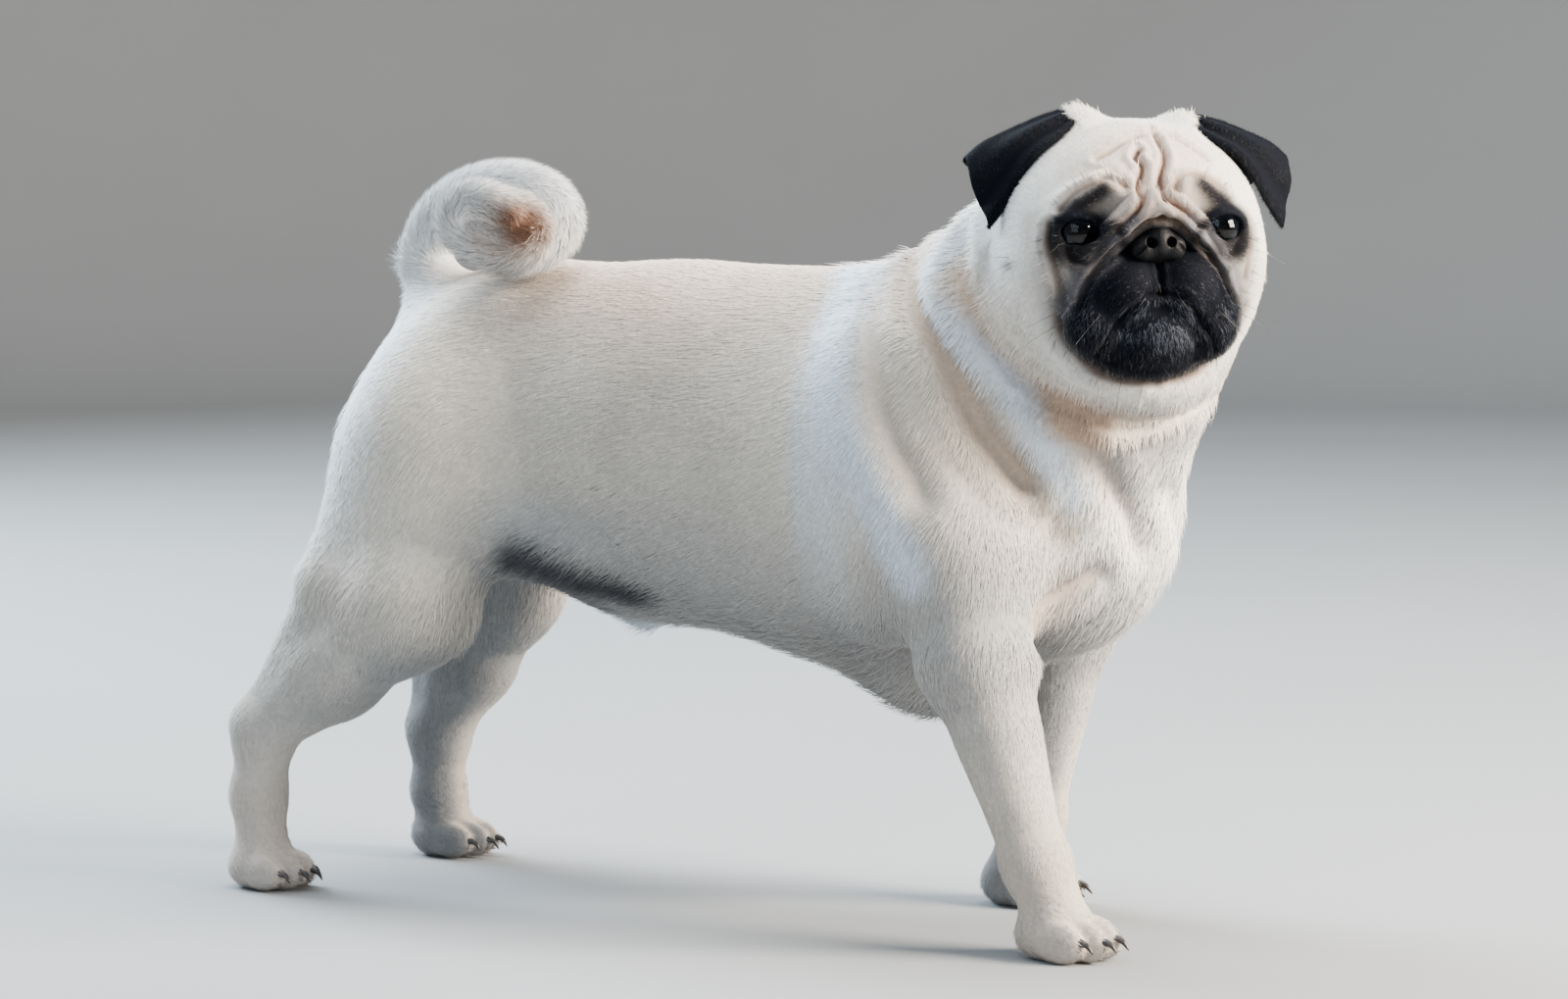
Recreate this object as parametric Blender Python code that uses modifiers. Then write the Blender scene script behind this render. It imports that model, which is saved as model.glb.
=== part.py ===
"""A standing pug, life size, as a still museum model.

The animal faces +X, its left side is +Y, and the floor is Z = 0. It stands with its weight
on four paws, its head turned to its right, and its tail curled over its right hip.

The body is made whole first. Its masses are rounded primitives: one voxel Remesh joins them,
the joined surface is then eased onto the smooth blend of the same masses, and skin folds are
pressed into it. Thin cuts part the finished body into its nodes.
"""

import math

import bmesh
import bpy
import numpy as np
from mathutils import Matrix, Vector

MM = 0.001  # every size below is in millimetres

# Driving sizes
GAP = 0.3  # between neighbouring nodes
VOXEL = 2.2
BODY_TRIANGLES = 2800
HEAD_TRIANGLES = 2500
NOSE_TRIANGLES = 280

# The skull's centre, and where the face points
HEAD_CENTRE = (203, -28, 320)
HEAD_YAW = -52  # degrees, to the animal's right
HEAD_PITCH = 0
HEAD_ROLL = 1.5

# Where the model's own frame lies in these coordinates: the middle of its floor box
ORIGIN = (11.3, -0.3, 0)

# Eyes, in the head's own directions: forward, left, up
EYE_AT = (38.5, 31, 0)
EYE_RADIUS = 11
EYE_TURN = 10  # degrees outward

# Both ears sit a little to the left, and the left one lower
EAR_SHIFT = 3.5
EAR_DROP = 2


def vec(*numbers):
    return np.array(numbers, float)


def head_axes():
    """The head's forward, left and up directions, as rows."""
    yaw, pitch, roll = (math.radians(a) for a in (HEAD_YAW, HEAD_PITCH, HEAD_ROLL))
    turn = (
        Matrix.Rotation(yaw, 3, "Z")
        @ Matrix.Rotation(-pitch, 3, "Y")
        @ Matrix.Rotation(roll, 3, "X")
    )
    return np.array(turn).T


HEAD_AXES = head_axes()


def in_head(forward, left, up):
    """A point given from the skull's centre, in body coordinates."""
    return vec(*HEAD_CENTRE) + vec(forward, left, up) @ HEAD_AXES


# Masses


class Ball:
    """An ellipsoid. axes holds its three directions as rows."""

    def __init__(self, centre, radii, axes=None, soft=14):
        self.centre, self.radii = vec(*centre), vec(*radii)
        self.axes = np.eye(3) if axes is None else axes
        self.soft = soft

    def reach(self):
        big = self.radii.max()
        return self.centre - big, self.centre + big

    def distance(self, points):
        q = (points - self.centre) @ self.axes.T
        near = np.linalg.norm(q / self.radii, axis=1)
        slope = np.linalg.norm(q / self.radii**2, axis=1)
        return near * (near - 1) / np.maximum(slope, 1e-6)

    def shape(self):
        bm = bmesh.new()
        turn = Matrix((self.axes.T * self.radii).tolist()).to_4x4()
        matrix = Matrix.Translation(self.centre) @ turn
        bmesh.ops.create_uvsphere(bm, u_segments=28, v_segments=18, radius=1, matrix=matrix)
        return bm


class Limb:
    """A rounded cone from a to b."""

    def __init__(self, a, b, radius_a, radius_b, soft=10):
        self.a, self.b = vec(*a), vec(*b)
        self.radius_a, self.radius_b, self.soft = radius_a, radius_b, soft

    def reach(self):
        big = max(self.radius_a, self.radius_b)
        return np.minimum(self.a, self.b) - big, np.maximum(self.a, self.b) + big

    def distance(self, points):
        along = self.b - self.a
        t = np.clip((points - self.a) @ along / (along @ along), 0, 1)
        radius = self.radius_a + (self.radius_b - self.radius_a) * t * t * (3 - 2 * t)
        return np.linalg.norm(points - self.a - t[:, None] * along, axis=1) - radius

    def shape(self):
        bm = bmesh.new()
        for centre, radius in ((self.a, self.radius_a), (self.b, self.radius_b)):
            place = Matrix.Translation(centre)
            bmesh.ops.create_uvsphere(bm, u_segments=20, v_segments=12, radius=radius, matrix=place)
        along = Vector(self.b - self.a)
        middle = Matrix.Translation((self.a + self.b) / 2)
        turn = along.to_track_quat("Z", "Y").to_matrix().to_4x4()
        bmesh.ops.create_cone(
            bm, cap_ends=True, segments=20, radius1=self.radius_a, radius2=self.radius_b,
            depth=along.length, matrix=middle @ turn,
        )
        return bm


# The tail leaves the croup here, straight up
TAIL_ROOT = (-172, 0, 296)


def head_ball(forward, left, up, radii, soft=8):
    return Ball(in_head(forward, left, up), radii, HEAD_AXES, soft)


def trunk():
    return [
        Ball((66, 0, 205), (106, 84, 92), soft=20),  # rib cage
        Ball((98, 0, 152), (54, 33, 60), soft=16),  # brisket
        Ball((-26, 0, 213), (117, 75, 85), soft=22),  # belly
        Ball((-120, 0, 230), (76, 64, 66), soft=20),  # croup
        Ball((154, 2, 180), (56, 62, 58), soft=24),  # forechest
        Limb((50, 0, 248), (-104, 0, 252), 46, 45, soft=20),  # back
        Limb((-88, 0, 157), (-52, 0, 134), 12, 9, soft=10),  # sheath
        Limb((-118, -48, 178), (-62, -40, 170), 24, 22, soft=14),  # right flank
        Limb((-118, 48, 178), (-62, 40, 170), 24, 22, soft=14),  # left flank
        Limb((-150, 0, 250), TAIL_ROOT, 26, 15, soft=16),  # tail root
    ]


def neck():
    return [
        Limb((100, 0, 232), (162, -14, 284), 68, 58, soft=22),
        Limb((152, 2, 205), (190, -18, 262), 58, 54, soft=20),
    ]


def shoulder(side, elbow):
    """side is 1 on the left and -1 on the right."""
    blade = Ball((104, side * 56, 205), (48, 34, 72), soft=22)
    upper_arm = Limb((138, side * 60, 172), elbow, 38, 28, soft=16)
    return [blade, upper_arm]


def foreleg(elbow, wrist, knuckle):
    return [
        Limb(elbow, wrist, 24, 15.5, soft=10),
        Limb(wrist, knuckle, 15.5, 15, soft=8),
    ]


TOES = ((-13.5, 10), (-5, 17), (5, 17), (13.5, 10))  # across, ahead


def paw(knuckle, heading, scale=1.0):
    """Four toes ahead of the knuckle, over one pad. heading is in degrees from +X."""
    a = math.radians(heading)
    ahead, across = vec(math.cos(a), math.sin(a), 0), vec(-math.sin(a), math.cos(a), 0)
    axes = np.array([ahead, across, vec(0, 0, 1)])
    base = vec(knuckle[0], knuckle[1], 0)
    pieces = [Ball(base + vec(0, 0, 10), vec(20, 18, 14) * scale, axes, soft=8)]
    for offset, lead in TOES:
        centre = base + ahead * lead * scale + across * offset * scale + vec(0, 0, 9)
        pieces.append(Ball(centre, vec(13, 6.6, 10.5) * scale, axes, soft=2.5))
    return pieces


def hind_leg(hip, knee, hock, ankle, knuckle, calf):
    """calf is the radius half way down the lower leg."""
    hip, knee, hock = vec(*hip), vec(*knee), vec(*hock)
    middle = (knee + hock) / 2
    heel = hock + vec(-9, 0, 6)
    return [
        Limb(hip, knee, 50, 30, soft=20),
        Limb(hip + vec(-20, 0, -12), knee + vec(-37, 0, 8), 35.5, 23, soft=16),  # hamstring
        Limb(knee, middle, 30, calf, soft=14),
        Limb(middle, hock, calf, 16, soft=10),
        Limb(knee + vec(-36, 0, 6), heel, 19, 7, soft=10),  # tendon
        Limb(hock, ankle, 15.5, 13.5, soft=8),
        Limb(ankle, knuckle, 13.5, 13.5, soft=8),
    ]


RIGHT_FORE = {"elbow": (150, -70, 132), "wrist": (180, -70, 42), "knuckle": (190, -70, 18)}
LEFT_FORE = {"elbow": (134, 62, 136), "wrist": (122, 56, 42), "knuckle": (116, 55, 18)}
RIGHT_HIND = {
    "hip": (-140, -34, 214),
    "knee": (-144, -62, 140),
    "hock": (-224, -65, 76),
    "ankle": (-228, -65, 45),
    "knuckle": (-226, -65, 16),
    "calf": 24,
}
LEFT_HIND = {
    "hip": (-146, 34, 212),
    "knee": (-164, 58, 138),
    "hock": (-202, 60, 62),
    "ankle": (-203, 60, 32),
    "knuckle": (-199, 60, 15),
    "calf": 23,
}


# name, leg, heading in degrees from +X, size
PAWS = (
    ("right_fore_paw", RIGHT_FORE, -8, 1.0),
    ("left_fore_paw", LEFT_FORE, 2, 1.0),
    ("right_hind_paw", RIGHT_HIND, -4, 0.92),
    ("left_hind_paw", LEFT_HIND, 4, 0.92),
)


def curve(points, steps):
    """A smooth line through the points, with steps samples between neighbours."""
    points = np.array([vec(*p) for p in points])
    padded = np.vstack([2 * points[0] - points[1], points, 2 * points[-1] - points[-2]])
    samples = []
    for a, b, c, d in zip(padded, padded[1:], padded[2:], padded[3:]):
        for t in np.arange(steps) / steps:
            samples.append(
                0.5 * (2 * b + (c - a) * t + (2 * a - 5 * b + 4 * c - d) * t**2
                       + (3 * b - a - 3 * c + d) * t**3)
            )
    samples.append(points[-1])
    return np.array(samples)


def chain(points, radius_a, radius_b, soft):
    """Limbs along the smooth line through points given in the head's directions."""
    line = curve(points, 3)
    radii = np.linspace(radius_a, radius_b, len(line))
    line = [in_head(*p) for p in line]
    return [
        Limb(a, b, ra, rb, soft)
        for a, b, ra, rb in zip(line, line[1:], radii, radii[1:])
    ]


def eye_axes(side):
    turn = math.radians(side * EYE_TURN)
    forward = vec(math.cos(turn), math.sin(turn), 0) @ HEAD_AXES
    left = vec(-math.sin(turn), math.cos(turn), 0) @ HEAD_AXES
    return np.array([forward, left, HEAD_AXES[2]])


def eye_centre(side):
    return in_head(EYE_AT[0], side * EYE_AT[1], EYE_AT[2])


def eye_opening(side):
    """The gap between the lids."""
    axes = eye_axes(side)
    centre = eye_centre(side) + axes[0] * (EYE_RADIUS + 1) + axes[2] * 0.4
    return Ball(centre, (9, 8.2, 5.8), axes)


def mirrored(points, side):
    return [(forward, side * left, up) for forward, left, up in points]


# The roll over the nose and the brow above each eye, on the left side of the head
NOSE_ROLL = ((56, 0, 10), (55, 9, 8), (52, 18, 0), (47, 27, -10), (42, 33, -20), (35, 37, -31))
BROW = ((46, 9, 11), (44, 16, 18), (40, 28, 16), (31, 40, 8))


def head():
    pieces = [
        head_ball(-2, 0, 6, (54, 57, 42), soft=10),  # skull
        head_ball(28, 0, -29, (29, 36, 33), soft=10),  # muzzle
        head_ball(0, 0, -36, (48, 56, 42), soft=14),  # throat
        head_ball(20, -4, -60, (28, 33, 25), soft=8),  # roll under the chin
        head_ball(43, 0, -47, (17, 20, 17), soft=4),  # chin
    ]
    for side in (1, -1):
        pieces += [
            head_ball(12, side * 33, -14, (36, 26, 34), soft=12),  # cheek
            head_ball(45, side * 13, -24, (18, 17, 17), soft=4),  # upper lip
            head_ball(39, side * 26, -38, (18, 14, 19), soft=5),  # hanging lip
            head_ball(36, side * 33, -13, (9, 12, 9), soft=6),  # under the eye
            head_ball(-4, side * 24 + EAR_SHIFT, 39.5 - side * 2, (14, 14, 14), soft=7),  # ear root
            Ball(eye_centre(side), (EYE_RADIUS + 2.2,) * 3, soft=4),  # lids
        ]
        pieces += chain(mirrored(BROW, side), 7, 5, soft=5)
        pieces += chain(mirrored(NOSE_ROLL, side), 7.2, 5.5, soft=3)
    return pieces


def masses():
    pieces = trunk() + neck()
    pieces += shoulder(-1, RIGHT_FORE["elbow"]) + shoulder(1, LEFT_FORE["elbow"])
    for leg in (RIGHT_FORE, LEFT_FORE):
        pieces += foreleg(**leg)
    for leg in (RIGHT_HIND, LEFT_HIND):
        pieces += hind_leg(**leg)
    for _, leg, heading, scale in PAWS:
        pieces += paw(leg["knuckle"], heading, scale)
    return pieces + head()


def nose_pieces():
    pieces = [
        head_ball(52, 0, -5, (8, 10, 9), soft=3),
        head_ball(57, 0, -4, (6.5, 6, 7), soft=3),
    ]
    for side in (1, -1):
        pieces.append(head_ball(56, side * 6.5, -7, (6, 5.5, 5.5), soft=2))  # wing
    return pieces


# Skin folds of the face, as (left, up) seen from the front of the head: depth, width, line
FACE_FOLDS = (
    (2.2, 2.2, ((-3, 35), (-5, 32), (-3, 28), (-6, 21), (-8, 15), (-11, 9), (-18, 2))),
    (2.2, 2.2, ((7, 42), (8, 37), (8, 31), (5, 25), (3, 19), (2, 15), (6, 12), (12, 7), (18, 1))),
    (1.2, 2.4, ((-21, 32), (-15, 35), (-7, 39), (0, 41), (7, 42), (15, 40), (24, 34), (29, 30))),
    (1.0, 2.2, ((-22, 25), (-17, 27), (-13, 25))),
    (1.3, 2.4, ((-40, 11), (-34, 18), (-26, 22), (-19, 24), (-13, 20))),
    (1.3, 2.4, ((8, 17), (11, 23), (18, 25), (26, 22), (34, 17))),
    (2.2, 2.6, ((-45, 4), (-46, -5), (-44, -14), (-41, -24), (-40, -30))),
    (1.6, 2.6, ((46, 4), (46, -5), (44, -14), (42, -22))),
)

# The same on both sides of the head
PAIRED_FOLDS = (
    (3.0, 2.2, ((0, 5.5), (6.5, 3.5), (12, -1), (20, -8), (26, -15), (31, -23), (35, -31))),
    (1.4, 2.2, ((39, -5), (36, -10), (30, -13), (25, -6), (19, 2))),
    (1.8, 2.0, ((0, -26), (7, -27.5), (13, -32.5), (18.5, -39), (23, -46), (26.5, -53))),
    (1.8, 2.8, ((42, -36), (40, -46), (31, -57), (18, -64), (0, -66))),
)
PHILTRUM = (1.8, 1.6, ((0, -10), (0, -17), (0, -26)))

# The fold under the chin's roll, and the crease down the roll, in the head's directions
CHIN_FOLDS = (
    (3.5, 4, ((10, -34, -68), (24, -17, -79), (30, -4, -84), (26, 14, -80), (12, 29, -70))),
    (1.6, 2, ((46, -3, -66), (44, -2, -74), (36, -3, -81))),
)

# Folds of the neck and chest, as points near the skin in body coordinates
BODY_FOLDS = (
    (8, 5.5, ((132, -52, 322), (143, -69, 290), (155, -73, 268), (173, -72, 254),
              (191, -69, 245), (211, -61, 240), (226, -48, 245), (236, -36, 254))),
    (5, 6.5, ((115, -46, 306), (130, -69, 278), (146, -72, 248), (165, -66, 227), (185, -59, 214))),
    (3, 6, ((193, -66, 232), (202, -54, 217), (207, -34, 196), (209, -21, 177))),
    (4, 6, ((168, -60, 138), (174, -55, 146), (182, -46, 158), (194, -36, 168))),
    (3, 8, ((74, -38, 293), (75, -65, 272), (84, -84, 247), (92, -88, 215))),
    (2.5, 6, ((96, -30, 312), (100, -62, 284), (108, -80, 256))),
    (2.5, 6, ((212, -8, 205), (205, 10, 190), (196, 26, 176))),
)


def in_head_all(points):
    return vec(*HEAD_CENTRE) + points @ HEAD_AXES


def face_fold_lines(pieces):
    """(depth, width, line) of the face's folds, laid on it from the front."""
    folds = [*FACE_FOLDS, PHILTRUM]
    for depth, width, line in PAIRED_FOLDS:
        for side in (1, -1):
            folds.append((depth, width, [(side * left, up) for left, up in line]))
    lines = [curve([(95, *p) for p in line], 5) for _, _, line in folds]
    places = in_head_all(np.vstack(lines))
    for _ in range(40):
        places = places - HEAD_AXES[0] * blend_distance(pieces, places)[:, None] * 0.8
    ends = np.cumsum([len(line) for line in lines])
    laid = np.split(places, ends[:-1])
    return [(depth, width, line) for (depth, width, _), line in zip(folds, laid)]


def fold_lines(pieces):
    """(depth, width, line on the skin) of every fold."""
    body = [(depth, width, curve(line, 6)) for depth, width, line in BODY_FOLDS]
    chin = [(depth, width, in_head_all(curve(line, 6))) for depth, width, line in CHIN_FOLDS]
    return face_fold_lines(pieces) + body + chin


def distance_to_line(points, line):
    nearest = np.full(len(points), 1e9)
    for a, b in zip(line, line[1:]):
        along = b - a
        t = np.clip((points - a) @ along / (along @ along), 0, 1)
        nearest = np.minimum(nearest, np.linalg.norm(points - a - t[:, None] * along, axis=1))
    return nearest


def press_folds(mesh, lines):
    """Each fold is a groove with a low roll of skin on both sides."""
    points, normals = points_of(mesh), normals_of(mesh)
    depth_at = np.zeros(len(points))
    for depth, width, line in lines:
        low, high = line.min(axis=0) - 5 * width, line.max(axis=0) + 5 * width
        near = ((points > low) & (points < high)).all(axis=1)
        d = distance_to_line(points[near], line) / width
        depth_at[near] += depth * (np.exp(-d**2) - 0.3 * np.exp(-((d - 2.2) / 1.1) ** 2))
    set_points(mesh, points - normals * depth_at[:, None])


def smooth_min(a, b, soft):
    h = np.clip(0.5 + 0.5 * (b - a) / soft, 0, 1)
    return b + (a - b) * h - soft * h * (1 - h)


def blend_distance(pieces, points):
    """The signed distance to the smooth blend of the pieces, in millimetres."""
    found = np.full(len(points), 60.0)
    for piece in pieces:
        low, high = piece.reach()
        margin = piece.soft + 30
        near = ((points > low - margin) & (points < high + margin)).all(axis=1)
        found[near] = smooth_min(piece.distance(points[near]), found[near], piece.soft)
    for side in (1, -1):
        opening = eye_opening(side)
        low, high = opening.reach()
        near = ((points > low - 8) & (points < high + 8)).all(axis=1)
        found[near] = -smooth_min(opening.distance(points[near]), -found[near], 1.5)
    return found


def clear_scene():
    for obj in list(bpy.data.objects):
        bpy.data.objects.remove(obj)


def new_object(name, mesh, collection):
    obj = bpy.data.objects.new(name, mesh)
    collection.objects.link(obj)
    return obj


def evaluated_mesh(obj):
    graph = bpy.context.evaluated_depsgraph_get()
    return bpy.data.meshes.new_from_object(obj.evaluated_get(graph))


def remeshed(mesh, collection, voxel):
    obj = new_object("masses", mesh, collection)
    remesh = obj.modifiers.new("Remesh", "REMESH")
    remesh.mode = "VOXEL"
    remesh.voxel_size = voxel
    smooth = obj.modifiers.new("Smooth", "SMOOTH")
    smooth.iterations = 3
    whole = evaluated_mesh(obj)
    bpy.data.objects.remove(obj)
    return whole


def joined(pieces, collection, voxel):
    """One closed surface round the smooth blend of the pieces."""
    together = bmesh.new()
    mesh = bpy.data.meshes.new("masses")
    for piece in pieces:
        bm = piece.shape()
        bm.to_mesh(mesh)
        bm.free()
        together.from_mesh(mesh)
    together.to_mesh(mesh)
    together.free()
    for _ in range(2):
        mesh = remeshed(mesh, collection, voxel)
        ease(mesh, pieces, rounds=5)
    mesh = remeshed(mesh, collection, voxel)
    ease(mesh, pieces, rounds=2)
    return mesh


def points_of(mesh):
    points = np.empty(len(mesh.vertices) * 3)
    mesh.vertices.foreach_get("co", points)
    return points.reshape(-1, 3)


def normals_of(mesh):
    normals = np.empty(len(mesh.vertices) * 3)
    mesh.vertices.foreach_get("normal", normals)
    return normals.reshape(-1, 3)


def set_points(mesh, points):
    mesh.vertices.foreach_set("co", points.ravel())
    mesh.update()


def ease(mesh, pieces, rounds=6):
    for _ in range(rounds):
        points = points_of(mesh)
        step = np.clip(blend_distance(pieces, points), -3, 3)
        set_points(mesh, points - normals_of(mesh) * step[:, None])


def refine_head(mesh):
    """Halve the edges of the head, where the folds are finest."""
    bm = bmesh.new()
    bm.from_mesh(mesh)
    centre = Vector(in_head(10, 0, -8))
    edges = {e for v in bm.verts if (v.co - centre).length < 82 for e in v.link_edges}
    bmesh.ops.subdivide_edges(bm, edges=list(edges), cuts=1, use_grid_fill=True)
    bmesh.ops.triangulate(bm, faces=bm.faces)
    bm.to_mesh(mesh)
    bm.free()


def decimated(mesh, collection, inside, keep):
    """Reduce the faces on one side of a boundary to the wanted number.

    inside says which points may be reduced, keep is how many triangles stay there.
    """
    obj = new_object("reduced", mesh, collection)
    group = obj.vertex_groups.new(name="reduced")
    points = points_of(mesh)
    chosen = inside(points)
    group.add([int(i) for i in np.flatnonzero(chosen)], 1.0, "REPLACE")
    corners = np.empty(len(mesh.polygons) * 3, int)
    mesh.loops.foreach_get("vertex_index", corners)
    counted = int(chosen[corners.reshape(-1, 3)].all(axis=1).sum())
    total = len(mesh.polygons)
    modifier = obj.modifiers.new("Decimate", "DECIMATE")
    modifier.ratio = (total - counted + keep) / total
    modifier.vertex_group = group.name
    result = evaluated_mesh(obj)
    bpy.data.objects.remove(obj)
    return result


def in_head_region(points):
    return np.linalg.norm(points - in_head(10, 0, -8), axis=1) < 84


def body_mesh(collection):
    pieces = masses()
    whole = joined(pieces, collection, VOXEL)
    refine_head(whole)
    ease(whole, pieces, rounds=2)
    press_folds(whole, fold_lines(pieces))
    whole = decimated(whole, collection, lambda p: ~in_head_region(p), BODY_TRIANGLES)
    return decimated(whole, collection, in_head_region, HEAD_TRIANGLES)


def tube(line, directions, radii, sides=12):
    """A closed tube of rings, with flat ends."""
    bm = bmesh.new()
    rings = []
    for centre, ahead, radius in zip(line, directions, radii):
        ahead = Vector(ahead).normalized()
        across = Vector((0, 1, 0)).cross(ahead).normalized()
        up = ahead.cross(across)
        ring = []
        for k in range(sides):
            a = 2 * math.pi * k / sides
            out = math.cos(a) * across + math.sin(a) * up
            ring.append(bm.verts.new(Vector(centre) + float(radius) * out))
        rings.append(ring)
    for a, b in zip(rings, rings[1:]):
        for k in range(sides):
            n = (k + 1) % sides
            bm.faces.new((a[k], a[n], b[n], b[k]))
    bm.faces.new(list(reversed(rings[0])))
    bm.faces.new(rings[-1])
    return finished(bm)


def finished(bm):
    bmesh.ops.recalc_face_normals(bm, faces=bm.faces)
    mesh = bpy.data.meshes.new("mesh")
    bm.to_mesh(mesh)
    bm.free()
    return mesh


# The curl of the tail, turning over the right hip as it goes round
TAIL_LINE = (
    TAIL_ROOT, (-171, 0, 308), (-160, -3, 325), (-131, -10, 337), (-100, -16, 335),
    (-77, -22, 321), (-84, -30, 305), (-107, -38, 300), (-132, -43, 307), (-135, -47, 323),
    (-113, -51, 336), (-99, -54, 325),
)
TAIL_PARTS = (("tail_base", 0, 0.3), ("tail_middle", 0.3, 0.68), ("tail_tip", 0.68, 1.0))


TAIL_PASSES = 120


def evened(line, passes):
    """The line with its bends evened out, its ends kept."""
    for _ in range(passes):
        line[2:-1] = 0.5 * line[2:-1] + 0.25 * (line[1:-2] + line[3:])
    return line


def tail_parts():
    """The tail in three lengths, GAP apart and GAP above the croup."""
    line = evened(curve(TAIL_LINE, 8), TAIL_PASSES)
    directions = np.gradient(line, axis=0)
    directions[0] = (0, 0, 1)
    steps = np.linalg.norm(np.diff(line, axis=0), axis=1)
    length = np.concatenate([[0], np.cumsum(steps)])

    def along(values, stations):
        return np.array([np.interp(stations, length, values[:, k]) for k in range(3)]).T

    meshes = []
    for name, start, end in TAIL_PARTS:
        count = 4 + round(24 * (end - start))
        stations = np.linspace(start, end, count) * length[-1]
        headings = along(directions, stations)
        stations[0] += GAP
        places = along(line, stations)
        share = stations / length[-1]
        radii = 13.5 - 4.5 * np.clip((share - 0.45) / 0.55, 0, 1)
        if end == 1:
            places, headings, radii = rounded_end(places, headings, radii)
        meshes.append((name, tube(places, headings, radii)))
    return meshes


def rounded_end(places, headings, radii):
    """Close the last ring with a dome."""
    ahead = headings[-1] / np.linalg.norm(headings[-1])
    last, radius = places[-1], radii[-1]
    for a in (30, 55, 75):
        a = math.radians(a)
        places = np.vstack([places, last + ahead * radius * math.sin(a)])
        headings = np.vstack([headings, ahead])
        radii = np.append(radii, radius * math.cos(a))
    return places, headings, radii


# The left ear on its own: where it leaves the skull, its fold, and the free edge of the flap,
# from the inner end to the outer, as (forward, left, up)
EAR_ROOT = (
    (-14, 29, 38), (-16, 34, 36), (-18, 40, 32), (-20, 46, 27), (-22, 51, 20), (-22, 54, 13),
)
EAR_FOLD = ((-3, 31, 50), (-3, 41, 47), (-4, 50, 43.5), (-5, 58, 40), (-7, 66, 36), (-9, 73, 30))
EAR_EDGE = ((5, 28, 43), (9, 36, 38), (11, 44, 33), (11, 51, 25), (9, 59, 11), (5, 67, 0))
EAR_THICKNESS = 2.4


def ear(side):
    rows = [curve(points, 2) for points in (EAR_ROOT, EAR_FOLD, EAR_EDGE)]
    bm = bmesh.new()
    grid = []
    for root, fold, edge in zip(*rows):
        profile = (
            root,
            0.45 * root + 0.55 * fold + vec(-4, 1, 0),
            fold + vec(-3, 0, -2),
            fold,
            fold + vec(3.5, 0, -1.5),
            0.5 * fold + 0.5 * edge + vec(3, 2, 1),
            edge,
        )
        line = np.array(profile) * vec(1, side, 1)
        line = in_head_all(line + vec(0, EAR_SHIFT, -side * EAR_DROP))
        grid.append([bm.verts.new(point) for point in line])
    for a, b in zip(grid, grid[1:]):
        for k in range(len(a) - 1):
            bm.faces.new((a[k], a[k + 1], b[k + 1], b[k]))
    return finished(bm)


def solid_sheet(mesh, thickness, collection):
    obj = new_object("sheet", mesh, collection)
    solidify = obj.modifiers.new("Solidify", "SOLIDIFY")
    solidify.thickness = thickness
    solidify.offset = 0
    result = evaluated_mesh(obj)
    bpy.data.objects.remove(obj)
    return result


def sphere(centre, radius, axes, segments=16, rings=10):
    bm = bmesh.new()
    turn = Matrix((np.roll(axes, -1, axis=0).T * radius).tolist()).to_4x4()
    matrix = Matrix.Translation(centre) @ turn
    bmesh.ops.create_uvsphere(bm, u_segments=segments, v_segments=rings, radius=1, matrix=matrix)
    return finished(bm)


NOSTRIL = ((67, 3.6, -5), (66, 4.6, -3.4), (64.5, 6.6, -4.6), (63, 9, -8))


def nose_mesh(collection):
    pieces = nose_pieces()
    mesh = joined(pieces, collection, 1.0)
    nostrils = []
    for side in (1, -1):
        line = curve(mirrored(NOSTRIL, side), 4)
        nostrils.append((2.4, 1.5, in_head_all(line)))
    nostrils.append((0.8, 1.0, in_head_all(curve(((63, 0, 2), (65, 0, -4), (63, 0, -11)), 4))))
    press_folds(mesh, nostrils)
    bm = bmesh.new()
    bm.from_mesh(mesh)
    bmesh.ops.triangulate(bm, faces=bm.faces)
    bm.to_mesh(mesh)
    bm.free()
    return decimated(mesh, collection, lambda p: np.ones(len(p), bool), NOSE_TRIANGLES)


def swollen(mesh, by):
    """A copy grown along its normals."""
    grown = mesh.copy()
    set_points(grown, points_of(mesh) + normals_of(mesh) * by)
    return grown


def combined(mesh, cutter, operation, collection):
    obj = new_object("target", mesh, collection)
    tool = new_object("cutter", cutter, collection)
    modifier = obj.modifiers.new("Boolean", "BOOLEAN")
    modifier.operation = operation
    modifier.solver = "EXACT"
    modifier.object = tool
    result = evaluated_mesh(obj)
    for used in (obj, tool):
        bpy.data.objects.remove(used)
    return result


def jaw_prism(gap):
    """A block under the line of the mouth, from the front of the head to behind the chin."""
    arch = [(-8, -68.5), (-19, -65), (-26, -58), (-26.5, -53), (-23, -46)]
    arch += [(-18.5, -39), (-13, -32.5), (-7, -27.5), (0, -26)]
    arch += [(-left, up) for left, up in reversed(arch[:-1])]
    middle = vec(0, -55)
    bm = bmesh.new()
    ends = []
    for forward in (24 - gap, 95):
        ring = []
        for left, up in arch:
            out = vec(left, up) - middle
            out = out * (1 + gap / np.linalg.norm(out))
            ring.append(bm.verts.new(in_head(forward, *(middle + out))))
        ends.append(ring)
    back, front = ends
    for k in range(len(arch)):
        n = (k + 1) % len(arch)
        bm.faces.new((back[k], back[n], front[n], front[k]))
    bm.faces.new(back)
    bm.faces.new(front)
    return finished(bm)


def slab(centre, normal, half, thickness=GAP):
    """A thin square plate across the body."""
    bm = bmesh.new()
    turn = Vector(normal).to_track_quat("Z", "Y").to_matrix().to_4x4()
    size = Matrix.Diagonal((half[0], half[1], thickness / 2, 1))
    matrix = Matrix.Translation(centre) @ turn @ size
    bmesh.ops.create_cube(bm, size=2, matrix=matrix)
    return finished(bm)


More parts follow.
